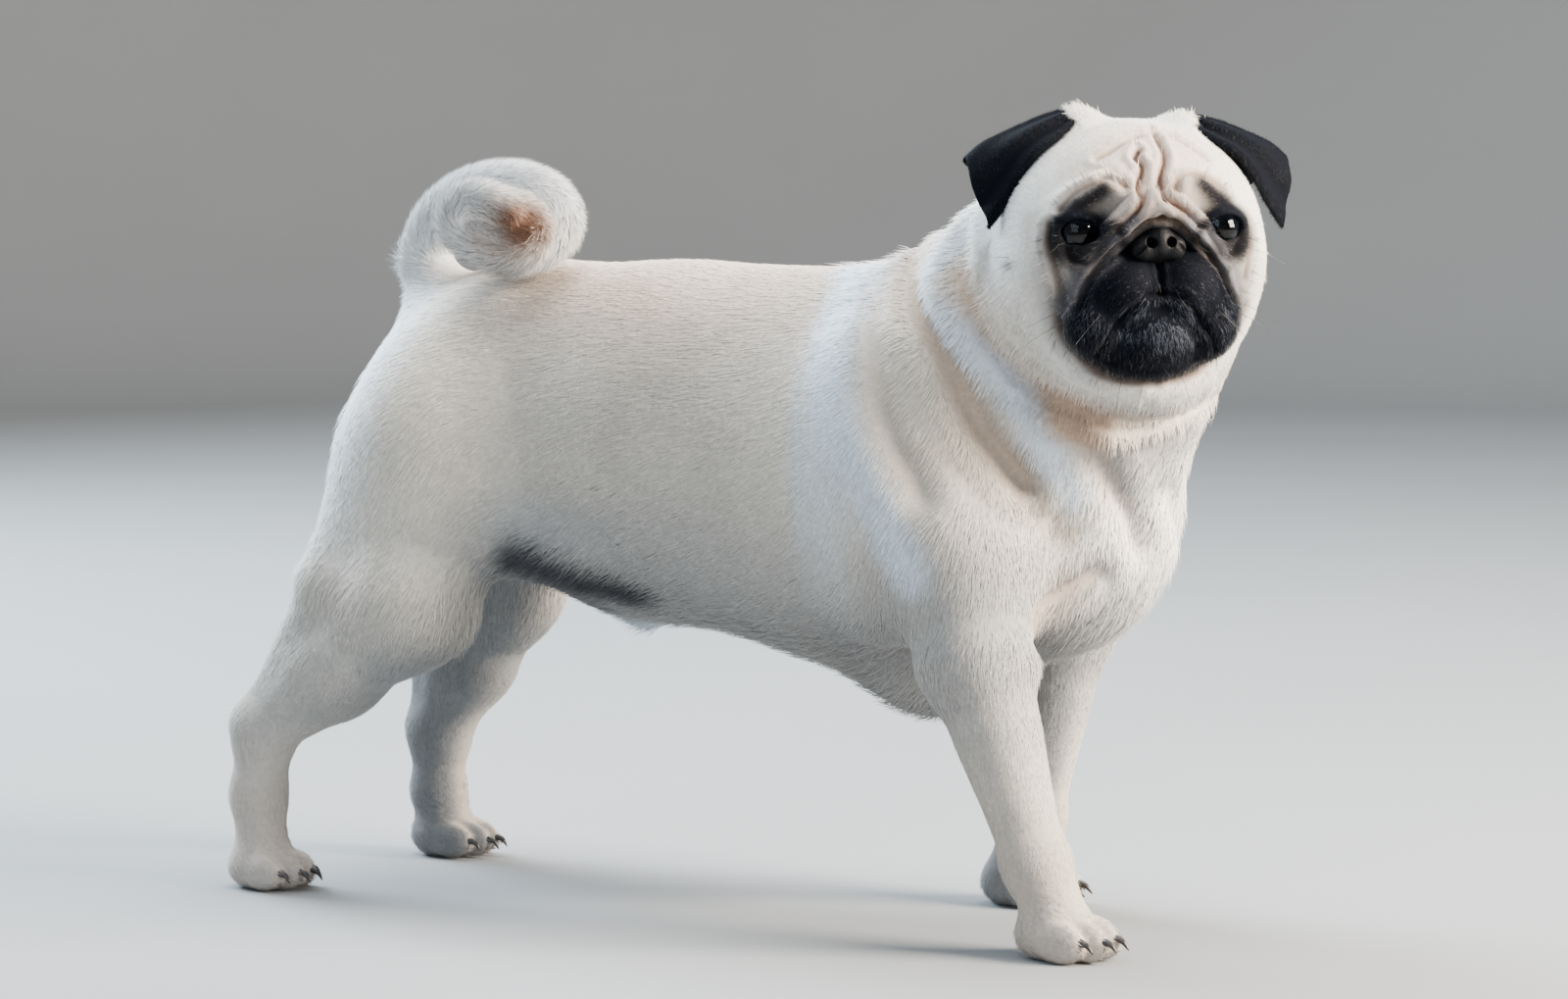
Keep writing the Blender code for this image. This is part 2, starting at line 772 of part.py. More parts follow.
def cuts():
    """(centre, normal, half sizes) of every parting cut."""
    found = [
        ((195, -35, 296), (-0.494, 0.633, -0.595), (140, 140)),  # head and neck
        ((145, 0, 255), (0.6, 0, 0.8), (120, 120)),  # neck and chest
        ((5, 0, 210), (1, 0, 0), (130, 130)),  # chest and loin
        ((-90, 0, 206), (1, 0, 0), (94, 130)),  # loin and rump
    ]
    for leg in (RIGHT_FORE, LEFT_FORE):
        elbow, wrist, knuckle = vec(*leg["elbow"]), vec(*leg["wrist"]), vec(*leg["knuckle"])
        down = elbow - wrist
        found.append((elbow - down * (elbow[2] - 112) / down[2], down, (36, 36)))
        found.append((wrist, (0, 0, 1), (28, 28)))
    for leg, side in ((RIGHT_HIND, -1), (LEFT_HIND, 1)):
        knee, hock, ankle = vec(*leg["knee"]), vec(*leg["hock"]), vec(*leg["ankle"])
        tilt = math.radians(40)
        outward = vec(0, side * math.cos(tilt), math.sin(tilt))
        middle = vec(-178, 0, 138) + outward * 64
        found.append((middle, (0, -side * math.sin(tilt), math.cos(tilt)), (88, 70)))
        down = knee - hock
        found.append((knee - down * 0.28, down, (38, 62)))
        found.append((hock - vec(0, 0, 14), (0, 0, 1), (28, 28)))
        found.append(((ankle[0], ankle[1], 25), (0, 0, 1), (28, 28)))
    return found


def loose_parts(mesh):
    """Each closed surface of the mesh as a mesh of its own."""
    bm = bmesh.new()
    bm.from_mesh(mesh)
    left = set(bm.verts)
    groups = []
    while left:
        start = left.pop()
        group, front = {start}, [start]
        while front:
            vert = front.pop()
            for edge in vert.link_edges:
                other = edge.other_vert(vert)
                if other in left:
                    left.discard(other)
                    group.add(other)
                    front.append(other)
        groups.append(group)
    meshes = []
    for group in groups:
        if len(group) < 12:
            continue
        part = bmesh.new()
        copies = {v: part.verts.new(v.co) for v in group}
        for face in {f for v in group for f in v.link_faces}:
            part.faces.new([copies[v] for v in face.verts])
        meshes.append(finished(part))
    bm.free()
    return meshes


# Each flesh node and a point near its middle, to name the parted pieces by
NODES = {
    "head": (203, -30, 320),
    "neck": (175, -14, 285),
    "chest": (110, 0, 185),
    "loin": (-45, 0, 212),
    "rump": (-150, 0, 235),
    "right_foreleg": (166, -70, 82),
    "right_fore_paw": (192, -71, 20),
    "left_foreleg": (128, 60, 84),
    "left_fore_paw": (122, 56, 20),
    "right_thigh": (-160, -60, 150),
    "right_gaskin": (-200, -64, 90),
    "right_hock": (-228, -65, 44),
    "right_hind_paw": (-222, -65, 12),
    "left_thigh": (-160, 60, 150),
    "left_gaskin": (-190, 60, 80),
    "left_hock": (-203, 60, 37),
    "left_hind_paw": (-195, 60, 12),
}

FAWN = (0.80, 0.68, 0.52)
BLACK = (0.035, 0.032, 0.035)
NOSE = (0.02, 0.02, 0.022)
EYE = (0.03, 0.016, 0.01)
COLOURS = {"ear": BLACK, "nose": NOSE, "lower": BLACK, "eye": EYE}


def middle_of(mesh):
    points = points_of(mesh)
    return (points.min(axis=0) + points.max(axis=0)) / 2


def named_parts(mesh):
    """The parted pieces by name, the largest one where several lie near the same point."""
    pieces = sorted(loose_parts(mesh), key=lambda m: len(m.polygons), reverse=True)
    found = {}
    for piece in pieces:
        middle = middle_of(piece)
        name = min(NODES, key=lambda n: np.linalg.norm(vec(*NODES[n]) - middle))
        if name not in found:
            found[name] = piece
    return found


def largest(mesh):
    return max(loose_parts(mesh), key=lambda m: len(m.polygons))


def floor_block():
    bm = bmesh.new()
    matrix = Matrix.Translation((0, 0, -20)) @ Matrix.Diagonal((400, 200, 20, 1))
    bmesh.ops.create_cube(bm, size=2, matrix=matrix)
    return finished(bm)


def with_claws(mesh, knuckle, heading, scale, collection):
    """Add four short claws to a paw."""
    a = math.radians(heading)
    ahead, across = vec(math.cos(a), math.sin(a), 0), vec(-math.sin(a), math.cos(a), 0)
    direction = Vector(ahead + vec(0, 0, -0.35)).normalized()
    for offset, lead in TOES:
        tip = vec(knuckle[0], knuckle[1], 0) + ahead * (lead + 13) * scale
        tip += across * offset * scale + vec(0, 0, 8 * scale)
        matrix = Matrix.Translation(tip) @ direction.to_track_quat("Z", "Y").to_matrix().to_4x4()
        bm = bmesh.new()
        bmesh.ops.create_cone(
            bm, cap_ends=True, segments=8, radius1=2.1, radius2=0.5, depth=9, matrix=matrix
        )
        mesh = largest(combined(mesh, finished(bm), "UNION", collection))
    return mesh


def flesh_parts(collection, nose):
    whole = body_mesh(collection)
    whole = combined(whole, floor_block(), "DIFFERENCE", collection)
    whole = combined(whole, swollen(nose, GAP), "DIFFERENCE", collection)
    for side in (1, -1):
        socket = sphere(eye_centre(side), EYE_RADIUS + GAP + 0.15, eye_axes(side))
        whole = combined(whole, socket, "DIFFERENCE", collection)
    top = slab(vec(*TAIL_ROOT) + vec(0, 0, 10 - GAP), (0, 0, 1), (34, 34), thickness=20)
    whole = combined(whole, top, "DIFFERENCE", collection)
    for centre, normal, half in cuts():
        whole = combined(whole, slab(centre, normal, half), "DIFFERENCE", collection)
    parts = named_parts(whole)
    head = parts["head"]
    parts["lower_jaw"] = largest(combined(head, jaw_prism(0), "INTERSECT", collection))
    parts["head"] = largest(combined(head, jaw_prism(GAP), "DIFFERENCE", collection))
    for name, leg, heading, scale in PAWS:
        parts[name] = with_claws(parts[name], leg["knuckle"], heading, scale, collection)
    return parts


def material_for(name):
    colour = next((c for key, c in COLOURS.items() if name.startswith(key)), FAWN)
    material = bpy.data.materials.new(name)
    material.use_nodes = True
    shader = material.node_tree.nodes["Principled BSDF"]
    shader.inputs["Base Color"].default_value = (*colour, 1)
    shader.inputs["Roughness"].default_value = 0.1 if name.startswith("eye") else 0.8
    return material


def main():
    clear_scene()
    collection = bpy.data.collections.new("pug")
    bpy.context.scene.collection.children.link(collection)
    nose = nose_mesh(collection)
    parts = flesh_parts(collection, nose)
    parts["nose"] = nose
    for side, word in ((1, "left"), (-1, "right")):
        parts[f"eye_{word}"] = sphere(eye_centre(side), EYE_RADIUS, eye_axes(side))
        flap = solid_sheet(ear(side), EAR_THICKNESS, collection)
        for name in ("head", "neck"):
            flap = combined(flap, swollen(parts[name], GAP), "DIFFERENCE", collection)
        parts[f"ear_{word}"] = largest(flap)
    parts.update(tail_parts())
    for name, mesh in parts.items():
        set_points(mesh, (points_of(mesh) - vec(*ORIGIN)) * MM)
        new_object(name, mesh, collection)
        mesh.materials.append(material_for(name))


if __name__ == "__main__":
    main()
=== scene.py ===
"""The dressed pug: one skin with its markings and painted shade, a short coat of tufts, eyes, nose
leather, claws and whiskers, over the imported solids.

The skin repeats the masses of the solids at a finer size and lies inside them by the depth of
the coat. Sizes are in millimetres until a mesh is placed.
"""

import math

import bmesh
import bpy
import numpy as np
from mathutils import Matrix, Vector
from mathutils.bvhtree import BVHTree


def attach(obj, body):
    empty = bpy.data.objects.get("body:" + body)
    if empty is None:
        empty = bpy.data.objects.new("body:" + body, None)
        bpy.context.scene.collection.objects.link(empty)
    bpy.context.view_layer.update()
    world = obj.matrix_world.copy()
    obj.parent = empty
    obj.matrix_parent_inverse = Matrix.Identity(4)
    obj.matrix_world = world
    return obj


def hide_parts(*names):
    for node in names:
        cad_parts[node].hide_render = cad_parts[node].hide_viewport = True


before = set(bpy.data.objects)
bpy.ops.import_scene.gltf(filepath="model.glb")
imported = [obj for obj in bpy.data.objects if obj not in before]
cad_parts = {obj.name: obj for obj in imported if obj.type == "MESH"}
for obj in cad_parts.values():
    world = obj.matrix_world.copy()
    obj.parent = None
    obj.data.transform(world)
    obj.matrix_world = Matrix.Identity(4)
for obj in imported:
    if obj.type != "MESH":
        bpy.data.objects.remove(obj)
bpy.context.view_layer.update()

MM = 0.001
SOLE = 0.4  # the skin's height over the floor under the paws
FIRST_VOXEL = 3.2
VOXEL = 2.15
TUFT_SHARE = 1
SEED = 7
NOSE_VOXELS = (0.9, 0.45)
UNWRAP_FACES = 12000
FAR = 60.0  # stands for the distance to anything farther away
SKIN_SHADE = 0.8  # the skin is this much darker than the hair over it
REFINED = (((14, 0, -10), 74), ((48, 0, -4), 44))  # middle and reach of the finer skin

HEAD_CENTRE = (203, -28, 320)
HEAD_YAW = -52  # degrees, to the animal's right
HEAD_PITCH = 0
HEAD_ROLL = 1.5
ORIGIN = (11.3, -0.3, 0)
EYE_AT = (38.5, 31, 0)
EYE_RADIUS = 11
EYE_TURN = 10  # degrees outward
EAR_SHIFT = 3.5  # both ears sit this far to the left, and the left one lower
EAR_DROP = 2
EAR_ROOT_UP = 39.5
IRIS = 50  # degrees from straight ahead
PUPIL = 22


def vec(*numbers):
    return np.array(numbers, float)


def head_axes():
    """The head's forward, left and up directions, as rows."""
    yaw, pitch, roll = (math.radians(a) for a in (HEAD_YAW, HEAD_PITCH, HEAD_ROLL))
    turn = (
        Matrix.Rotation(yaw, 3, "Z")
        @ Matrix.Rotation(-pitch, 3, "Y")
        @ Matrix.Rotation(roll, 3, "X")
    )
    return np.array(turn).T


HEAD_AXES = head_axes()


def in_head(forward, left, up):
    """A point given from the skull's centre, in body coordinates."""
    return vec(*HEAD_CENTRE) + vec(forward, left, up) @ HEAD_AXES


def in_head_all(points):
    return vec(*HEAD_CENTRE) + points @ HEAD_AXES


def seen_from_head(points):
    """Points of the body, given from the skull's centre."""
    return (points - vec(*HEAD_CENTRE)) @ HEAD_AXES.T


# Masses


def along_stretch(points, a, b):
    """Each point's share of the way from a to b, and its distance from that stretch."""
    along = b - a
    share = np.clip((points - a) @ along / (along @ along), 0, 1)
    return share, np.linalg.norm(points - a - share[:, None] * along, axis=1)


def boxed(points, places, margin):
    """Which points lie in the box round the places, with a margin on every side."""
    low, high = np.min(places, axis=0) - margin, np.max(places, axis=0) + margin
    return ((points > low) & (points < high)).all(axis=1)


class Ball:
    """An ellipsoid. axes holds its three directions as rows."""

    def __init__(self, centre, radii, axes=None, soft=14):
        self.centre, self.radii = vec(*centre), vec(*radii)
        self.axes = np.eye(3) if axes is None else axes
        self.soft = soft

    def reach(self):
        big = self.radii.max()
        return self.centre - big, self.centre + big

    def distance(self, points):
        q = (points - self.centre) @ self.axes.T
        near = np.linalg.norm(q / self.radii, axis=1)
        slope = np.linalg.norm(q / self.radii**2, axis=1)
        return near * (near - 1) / np.maximum(slope, 1e-6)

    def shape(self):
        bm = bmesh.new()
        turn = Matrix((self.axes.T * self.radii).tolist()).to_4x4()
        matrix = Matrix.Translation(self.centre) @ turn
        bmesh.ops.create_uvsphere(bm, u_segments=28, v_segments=18, radius=1, matrix=matrix)
        return bm


class Limb:
    """A rounded cone from a to b."""

    def __init__(self, a, b, radius_a, radius_b, soft=10):
        self.a, self.b = vec(*a), vec(*b)
        self.radius_a, self.radius_b, self.soft = radius_a, radius_b, soft

    def reach(self):
        big = max(self.radius_a, self.radius_b)
        return np.minimum(self.a, self.b) - big, np.maximum(self.a, self.b) + big

    def distance(self, points):
        t, away = along_stretch(points, self.a, self.b)
        return away - (self.radius_a + (self.radius_b - self.radius_a) * t * t * (3 - 2 * t))

    def shape(self):
        bm = bmesh.new()
        for centre, radius in ((self.a, self.radius_a), (self.b, self.radius_b)):
            place = Matrix.Translation(centre)
            bmesh.ops.create_uvsphere(bm, u_segments=20, v_segments=12, radius=radius, matrix=place)
        along = Vector(self.b - self.a)
        middle = Matrix.Translation((self.a + self.b) / 2)
        turn = along.to_track_quat("Z", "Y").to_matrix().to_4x4()
        bmesh.ops.create_cone(
            bm, cap_ends=True, segments=20, radius1=self.radius_a, radius2=self.radius_b,
            depth=along.length, matrix=middle @ turn,
        )
        return bm


TAIL_ROOT = (-172, 0, 296)


def head_ball(forward, left, up, radii, soft=8):
    return Ball(in_head(forward, left, up), radii, HEAD_AXES, soft)


def trunk():
    return [
        Ball((66, 0, 205), (106, 84, 92), soft=20),  # rib cage
        Ball((98, 0, 152), (54, 33, 60), soft=16),  # brisket
        Ball((-26, 0, 213), (117, 75, 85), soft=22),  # belly
        Ball((-120, 0, 230), (76, 64, 66), soft=20),  # croup
        Ball((154, 2, 180), (56, 62, 58), soft=24),  # forechest
        Limb((50, 0, 248), (-104, 0, 252), 46, 45, soft=20),  # back
        Limb((-88, 0, 157), (-52, 0, 134), 12, 9, soft=10),  # sheath
        Limb((-118, -48, 178), (-62, -40, 170), 24, 22, soft=14),  # right flank
        Limb((-118, 48, 178), (-62, 40, 170), 24, 22, soft=14),  # left flank
        Limb((-150, 0, 250), TAIL_ROOT, 26, 15, soft=16),  # tail root
    ]


def neck():
    return [
        Limb((100, 0, 232), (162, -14, 284), 68, 58, soft=22),
        Limb((152, 2, 205), (190, -18, 262), 58, 54, soft=20),
    ]


def shoulder(side, elbow):
    """side is 1 on the left and -1 on the right."""
    blade = Ball((104, side * 56, 205), (48, 34, 72), soft=22)
    upper_arm = Limb((138, side * 60, 172), elbow, 38, 28, soft=16)
    return [blade, upper_arm]


def foreleg(elbow, wrist, knuckle):
    return [
        Limb(elbow, wrist, 24, 15.5, soft=10),
        Limb(wrist, knuckle, 15.5, 15, soft=8),
    ]


TOES = ((-13.5, 10), (-5, 17), (5, 17), (13.5, 10))  # across, ahead


def paw_axes(heading):
    a = math.radians(heading)
    return vec(math.cos(a), math.sin(a), 0), vec(-math.sin(a), math.cos(a), 0)


def paw(knuckle, heading, scale=1.0):
    """Four toes ahead of the knuckle, over one pad. heading is in degrees from +X."""
    ahead, across = paw_axes(heading)
    axes = np.array([ahead, across, vec(0, 0, 1)])
    base = vec(knuckle[0], knuckle[1], 0)
    pieces = [Ball(base + vec(0, 0, 10), vec(20, 18, 14) * scale, axes, soft=8)]
    for offset, lead in TOES:
        centre = base + ahead * lead * scale + across * offset * scale + vec(0, 0, 9)
        pieces.append(Ball(centre, vec(13, 6.6, 10.5) * scale, axes, soft=2.5))
    return pieces


def hind_leg(hip, knee, hock, ankle, knuckle, calf):
    """calf is the radius half way down the lower leg."""
    hip, knee, hock = vec(*hip), vec(*knee), vec(*hock)
    middle = (knee + hock) / 2
    heel = hock + vec(-9, 0, 6)
    return [
        Limb(hip, knee, 50, 30, soft=20),
        Limb(hip + vec(-20, 0, -12), knee + vec(-37, 0, 8), 35.5, 23, soft=16),  # hamstring
        Limb(knee, middle, 30, calf, soft=14),
        Limb(middle, hock, calf, 16, soft=10),
        Limb(knee + vec(-36, 0, 6), heel, 19, 7, soft=10),  # tendon
        Limb(hock, ankle, 15.5, 13.5, soft=8),
        Limb(ankle, knuckle, 13.5, 13.5, soft=8),
    ]


RIGHT_FORE = {"elbow": (150, -70, 132), "wrist": (180, -70, 42), "knuckle": (190, -70, 18)}
LEFT_FORE = {"elbow": (134, 62, 136), "wrist": (122, 56, 42), "knuckle": (116, 55, 18)}
RIGHT_HIND = {
    "hip": (-140, -34, 214),
    "knee": (-144, -62, 140),
    "hock": (-224, -65, 76),
    "ankle": (-228, -65, 45),
    "knuckle": (-226, -65, 16),
    "calf": 24,
}
LEFT_HIND = {
    "hip": (-146, 34, 212),
    "knee": (-164, 58, 138),
    "hock": (-202, 60, 62),
    "ankle": (-203, 60, 32),
    "knuckle": (-199, 60, 15),
    "calf": 23,
}
PAWS = (
    ("right_fore_paw", RIGHT_FORE, -8, 1.0),
    ("left_fore_paw", LEFT_FORE, 2, 1.0),
    ("right_hind_paw", RIGHT_HIND, -4, 0.92),
    ("left_hind_paw", LEFT_HIND, 4, 0.92),
)


def curve(points, steps):
    """A smooth line through the points, with steps samples between neighbours."""
    points = np.array([vec(*p) for p in points])
    padded = np.vstack([2 * points[0] - points[1], points, 2 * points[-1] - points[-2]])
    samples = []
    for a, b, c, d in zip(padded, padded[1:], padded[2:], padded[3:]):
        for t in np.arange(steps) / steps:
            samples.append(
                0.5 * (2 * b + (c - a) * t + (2 * a - 5 * b + 4 * c - d) * t**2
                       + (3 * b - a - 3 * c + d) * t**3)
            )
    samples.append(points[-1])
    return np.array(samples)


def limbs(line, radii, soft):
    """Limbs from each place of the line to the next."""
    return [Limb(a, b, ra, rb, soft) for a, b, ra, rb in zip(line, line[1:], radii, radii[1:])]


def chain(points, steps, radius_a, radius_b, soft):
    """Limbs along the smooth line through points given in the head's directions."""
    line = [in_head(*p) for p in curve(points, steps)]
    return limbs(line, np.linspace(radius_a, radius_b, len(line)), soft)


def eye_axes(side):
    turn = math.radians(side * EYE_TURN)
    forward = vec(math.cos(turn), math.sin(turn), 0) @ HEAD_AXES
    left = vec(-math.sin(turn), math.cos(turn), 0) @ HEAD_AXES
    return np.array([forward, left, HEAD_AXES[2]])


def eye_centre(side):
    return in_head(EYE_AT[0], side * EYE_AT[1], EYE_AT[2])


def eye_opening(side):
    """The gap between the lids."""
    axes = eye_axes(side)
    centre = eye_centre(side) + axes[0] * (EYE_RADIUS + 1) + axes[2] * 0.4
    return Ball(centre, (9, 8.7, 5.0), axes, soft=1.2)


def mirrored(points, side):
    return [(forward, side * left, up) for forward, left, up in points]


NOSE_ROLL = ((56, 0, 10), (55, 9, 8), (52, 18, 0), (47, 27, -10), (42, 33, -20), (35, 37, -31))
BROW = ((46, 9, 11), (44, 16, 18), (40, 28, 16), (31, 40, 8))


def head():
    pieces = [
        head_ball(-2, 0, 6, (54, 57, 42), soft=10),  # skull
        head_ball(28, 0, -29, (29, 36, 33), soft=10),  # muzzle
        head_ball(0, 0, -36, (48, 56, 42), soft=14),  # throat
        head_ball(20, -4, -60, (28, 33, 25), soft=8),  # roll under the chin
        head_ball(43, 0, -47, (17, 20, 17), soft=4),  # chin
    ]
    for side in (1, -1):
        pieces += [
            head_ball(12, side * 33, -14, (36, 26, 34), soft=12),  # cheek
            head_ball(45, side * 13, -24, (18, 17, 17), soft=4),  # upper lip
            head_ball(39, side * 26, -38, (18, 14, 19), soft=5),  # hanging lip
            head_ball(36, side * 33, -13, (9, 12, 9), soft=6),  # under the eye
            head_ball(-4, side * 24 + EAR_SHIFT, EAR_ROOT_UP - side * EAR_DROP, (14,) * 3, soft=7),
            Ball(eye_centre(side), (EYE_RADIUS + 2.2,) * 3, soft=4),  # lids
        ]
        pieces += chain(mirrored(BROW, side), 3, 7, 5, soft=5)
        pieces += chain(mirrored(NOSE_ROLL, side), 3, 7.2, 5.5, soft=3)
    return pieces


TAIL_LINE = (
    TAIL_ROOT, (-171, 0, 308), (-160, -3, 325), (-131, -10, 337), (-100, -16, 335),
    (-77, -22, 321), (-84, -30, 305), (-107, -38, 300), (-132, -43, 307), (-135, -47, 323),
    (-113, -51, 336), (-99, -54, 325),
)
TAIL_PASSES = 120
TAIL_HEART = (-103, -42, 313)  # the curl's middle, filled with fur


def evened(line, passes):
    """The line with its bends evened out, its ends kept."""
    for _ in range(passes):
        line[2:-1] = 0.5 * line[2:-1] + 0.25 * (line[1:-2] + line[3:])
    return line


def tail_line():
    """Places along the tail, their share of its length, and the radius out to the tips."""
    line = evened(curve(TAIL_LINE, 8), TAIL_PASSES)
    steps = np.linalg.norm(np.diff(line, axis=0), axis=1)
    share = np.concatenate([[0], np.cumsum(steps)]) / steps.sum()
    return line, share, 13.5 - 4.5 * np.clip((share - 0.45) / 0.55, 0, 1)


def tail_masses():
    """The tail with its coat: the depth of the coat is taken off with the rest."""
    line, _, radii = tail_line()
    return [Ball(TAIL_HEART, (24, 14, 20), soft=6), *limbs(line[::2], radii[::2], 2.0)]


def masses():
    pieces = trunk() + neck()
    pieces += shoulder(-1, RIGHT_FORE["elbow"]) + shoulder(1, LEFT_FORE["elbow"])
    for leg in (RIGHT_FORE, LEFT_FORE):
        pieces += foreleg(**leg)
    for leg in (RIGHT_HIND, LEFT_HIND):
        pieces += hind_leg(**leg)
    for _, leg, heading, scale in PAWS:
        pieces += paw(leg["knuckle"], heading, scale)
    return pieces + head() + tail_masses()


def nose_pieces():
    pieces = [
        head_ball(52, 0, -5, (8, 10, 9), soft=3),
        head_ball(57, 0, -4, (6.5, 6, 7), soft=3),
    ]
    for side in (1, -1):
        pieces.append(head_ball(56, side * 6.5, -7, (6, 5.5, 5.5), soft=2))  # wing
    return pieces


# Skin folds of the face, as (left, up) seen from the front of the head: depth, width, line
FACE_FOLDS = (
    (3.0, 1.7, ((-3, 35), (-5, 32), (-3, 28), (-6, 21), (-8, 15), (-11, 9), (-18, 2))),
    (3.0, 1.7, ((7, 42), (8, 37), (8, 31), (5, 25), (3, 19), (2, 15), (6, 12), (12, 7), (18, 1))),
    (1.6, 1.8, ((-21, 32), (-15, 35), (-7, 39), (0, 41), (7, 42), (15, 40), (24, 34), (29, 30))),
    (1.4, 1.8, ((-22, 25), (-17, 27), (-13, 25))),
    (1.8, 2.0, ((-40, 11), (-34, 18), (-26, 22), (-19, 24), (-13, 20))),
    (1.8, 2.0, ((8, 17), (11, 23), (18, 25), (26, 22), (34, 17))),
    (2.6, 2.0, ((-45, 4), (-46, -5), (-44, -14), (-41, -24), (-40, -30))),
    (2.0, 2.0, ((46, 4), (46, -5), (44, -14), (42, -22))),
)

# The same on both sides of the head
PAIRED_FOLDS = (
    (4.0, 1.7, ((0, 5.5), (6.5, 3.5), (12, -1), (20, -8), (26, -15), (31, -23), (35, -31))),
    (2.0, 1.8, ((39, -5), (36, -10), (30, -13), (25, -6), (19, 2))),
    (1.9, 1.6, ((0, -26), (7, -27.5), (13, -32.5), (18.5, -39), (23, -46), (26.5, -53))),
    (2.4, 2.4, ((42, -36), (40, -46), (31, -57), (18, -64), (0, -66))),
)
PHILTRUM = (2.4, 1.2, ((0, -10), (0, -17), (0, -26)))

# The fold under the chin's roll, and the crease down the roll, in the head's directions
CHIN_FOLDS = (
    (3.5, 4, ((10, -34, -68), (24, -17, -79), (30, -4, -84), (26, 14, -80), (12, 29, -70))),
    (1.6, 2, ((46, -3, -66), (44, -2, -74), (36, -3, -81))),
)

# Folds of the neck and chest, as points near the skin in body coordinates
BODY_FOLDS = (
    (8, 5.5, ((132, -52, 322), (143, -69, 290), (155, -73, 268), (173, -72, 254),
              (191, -69, 245), (211, -61, 240), (226, -48, 245), (236, -36, 254))),
    (6, 5.5, ((101, -24, 310), (113, -58, 290), (138, -73, 261), (155, -70, 230), (170, -63, 209))),
    (3, 6, ((193, -66, 232), (202, -54, 217), (207, -34, 196), (209, -21, 177))),
    (4, 6, ((168, -60, 138), (174, -55, 146), (182, -46, 158), (194, -36, 168))),
    (3, 7, ((92, -36, 300), (96, -56, 287), (104, -79, 264), (115, -87, 235), (132, -88, 205))),
    (2.5, 6, ((212, -8, 205), (205, 10, 190), (196, 26, 176))),
)


def face_fold_lines(pieces):
    """The folds seen from the front, laid on the face."""
    folds = [*FACE_FOLDS, PHILTRUM]
    for depth, width, line in PAIRED_FOLDS:
        for side in (1, -1):
            folds.append((depth, width, [(side * left, up) for left, up in line]))
    laid = laid_on_face([line for *_, line in folds], pieces)
    return [(depth, width, line) for (depth, width, _), line in zip(folds, laid)]


def body_fold_lines():
    body = [(depth, width, curve(line, 6)) for depth, width, line in BODY_FOLDS]
    chin = [(depth, width, in_head_all(curve(line, 6))) for depth, width, line in CHIN_FOLDS]
    return body + chin


def distance_to_line(points, line):
    nearest = np.full(len(points), 1e9)
    for a, b in zip(line, line[1:]):
        nearest = np.minimum(nearest, along_stretch(points, a, b)[1])
    return nearest


def press_folds(mesh, lines):
    """Each fold is a groove with a low roll of skin on both sides."""
    points, normals = points_of(mesh), normals_of(mesh)
    depth_at = np.zeros(len(points))
    for depth, width, line in lines:
        near = boxed(points, line, 5 * width)
        d = distance_to_line(points[near], line) / width
        depth_at[near] += depth * (np.exp(-d**2) - 0.3 * np.exp(-((d - 2.2) / 1.1) ** 2))
    set_points(mesh, points - normals * depth_at[:, None])


def smooth_min(a, b, soft):
    h = np.clip(0.5 + 0.5 * (b - a) / soft, 0, 1)
    return b + (a - b) * h - soft * h * (1 - h)


def blend_distance(pieces, points, hollows=None):
    """The signed distance to the smooth blend of the pieces, less the hollows."""
    found = np.full(len(points), FAR)
    if hollows is None:
        hollows = [eye_opening(1), eye_opening(-1)]
    for piece in pieces:
        near = boxed(points, piece.reach(), piece.soft + 30)
        found[near] = smooth_min(piece.distance(points[near]), found[near], piece.soft)
    for hollow in hollows:
        near = boxed(points, hollow.reach(), 8)
        found[near] = -smooth_min(hollow.distance(points[near]), -found[near], hollow.soft)
    return found


# Mesh helpers

pug = bpy.data.collections.new("pug")
bpy.context.scene.collection.children.link(pug)


def new_object(name, mesh):
    obj = bpy.data.objects.new(name, mesh)
    pug.objects.link(obj)
    return obj


def evaluated_mesh(obj):
    graph = bpy.context.evaluated_depsgraph_get()
    mesh = bpy.data.meshes.new_from_object(obj.evaluated_get(graph))
    bpy.data.objects.remove(obj)
    return mesh


def remeshed(obj, voxel, rounds):
    """The object's mesh, made anew of small even faces and smoothed."""
    remesh = obj.modifiers.new("Remesh", "REMESH")
    remesh.mode = "VOXEL"
    remesh.voxel_size = voxel
    smooth = obj.modifiers.new("Smooth", "SMOOTH")
    smooth.iterations = rounds
    return evaluated_mesh(obj)


def joined(pieces, voxels, depth=None, hollows=None):
    """One closed surface round the smooth blend of the pieces, sunk by the depth."""
    together = bmesh.new()
    mesh = bpy.data.meshes.new("masses")
    for piece in pieces:
        bm = piece.shape()
        bm.to_mesh(mesh)
        bm.free()
        together.from_mesh(mesh)
    together.to_mesh(mesh)
    together.free()
    for voxel in voxels:
        mesh = remeshed(new_object("masses", mesh), voxel, 3)
        ease(mesh, pieces, depth, hollows, rounds=5)
    return mesh


def points_of(mesh):
    points = np.empty(len(mesh.vertices) * 3)
    mesh.vertices.foreach_get("co", points)
    return points.reshape(-1, 3)


def normals_of(mesh):
    normals = np.empty(len(mesh.vertices) * 3)
    mesh.vertices.foreach_get("normal", normals)
    return normals.reshape(-1, 3)


def triangles_of(mesh):
    mesh.calc_loop_triangles()
    corners = np.empty(len(mesh.loop_triangles) * 3, np.int32)
    mesh.loop_triangles.foreach_get("vertices", corners)
    return corners.reshape(-1, 3)


def set_points(mesh, points):
    mesh.vertices.foreach_set("co", points.ravel())
    mesh.update()


def ease(mesh, pieces, depth, hollows, rounds):
    for _ in range(rounds):
        points = points_of(mesh)
        step = blend_distance(pieces, points, hollows)
        if depth is not None:
            step = step + depth(points)
        step = np.clip(step, -3, 3)
        set_points(mesh, points - normals_of(mesh) * step[:, None])


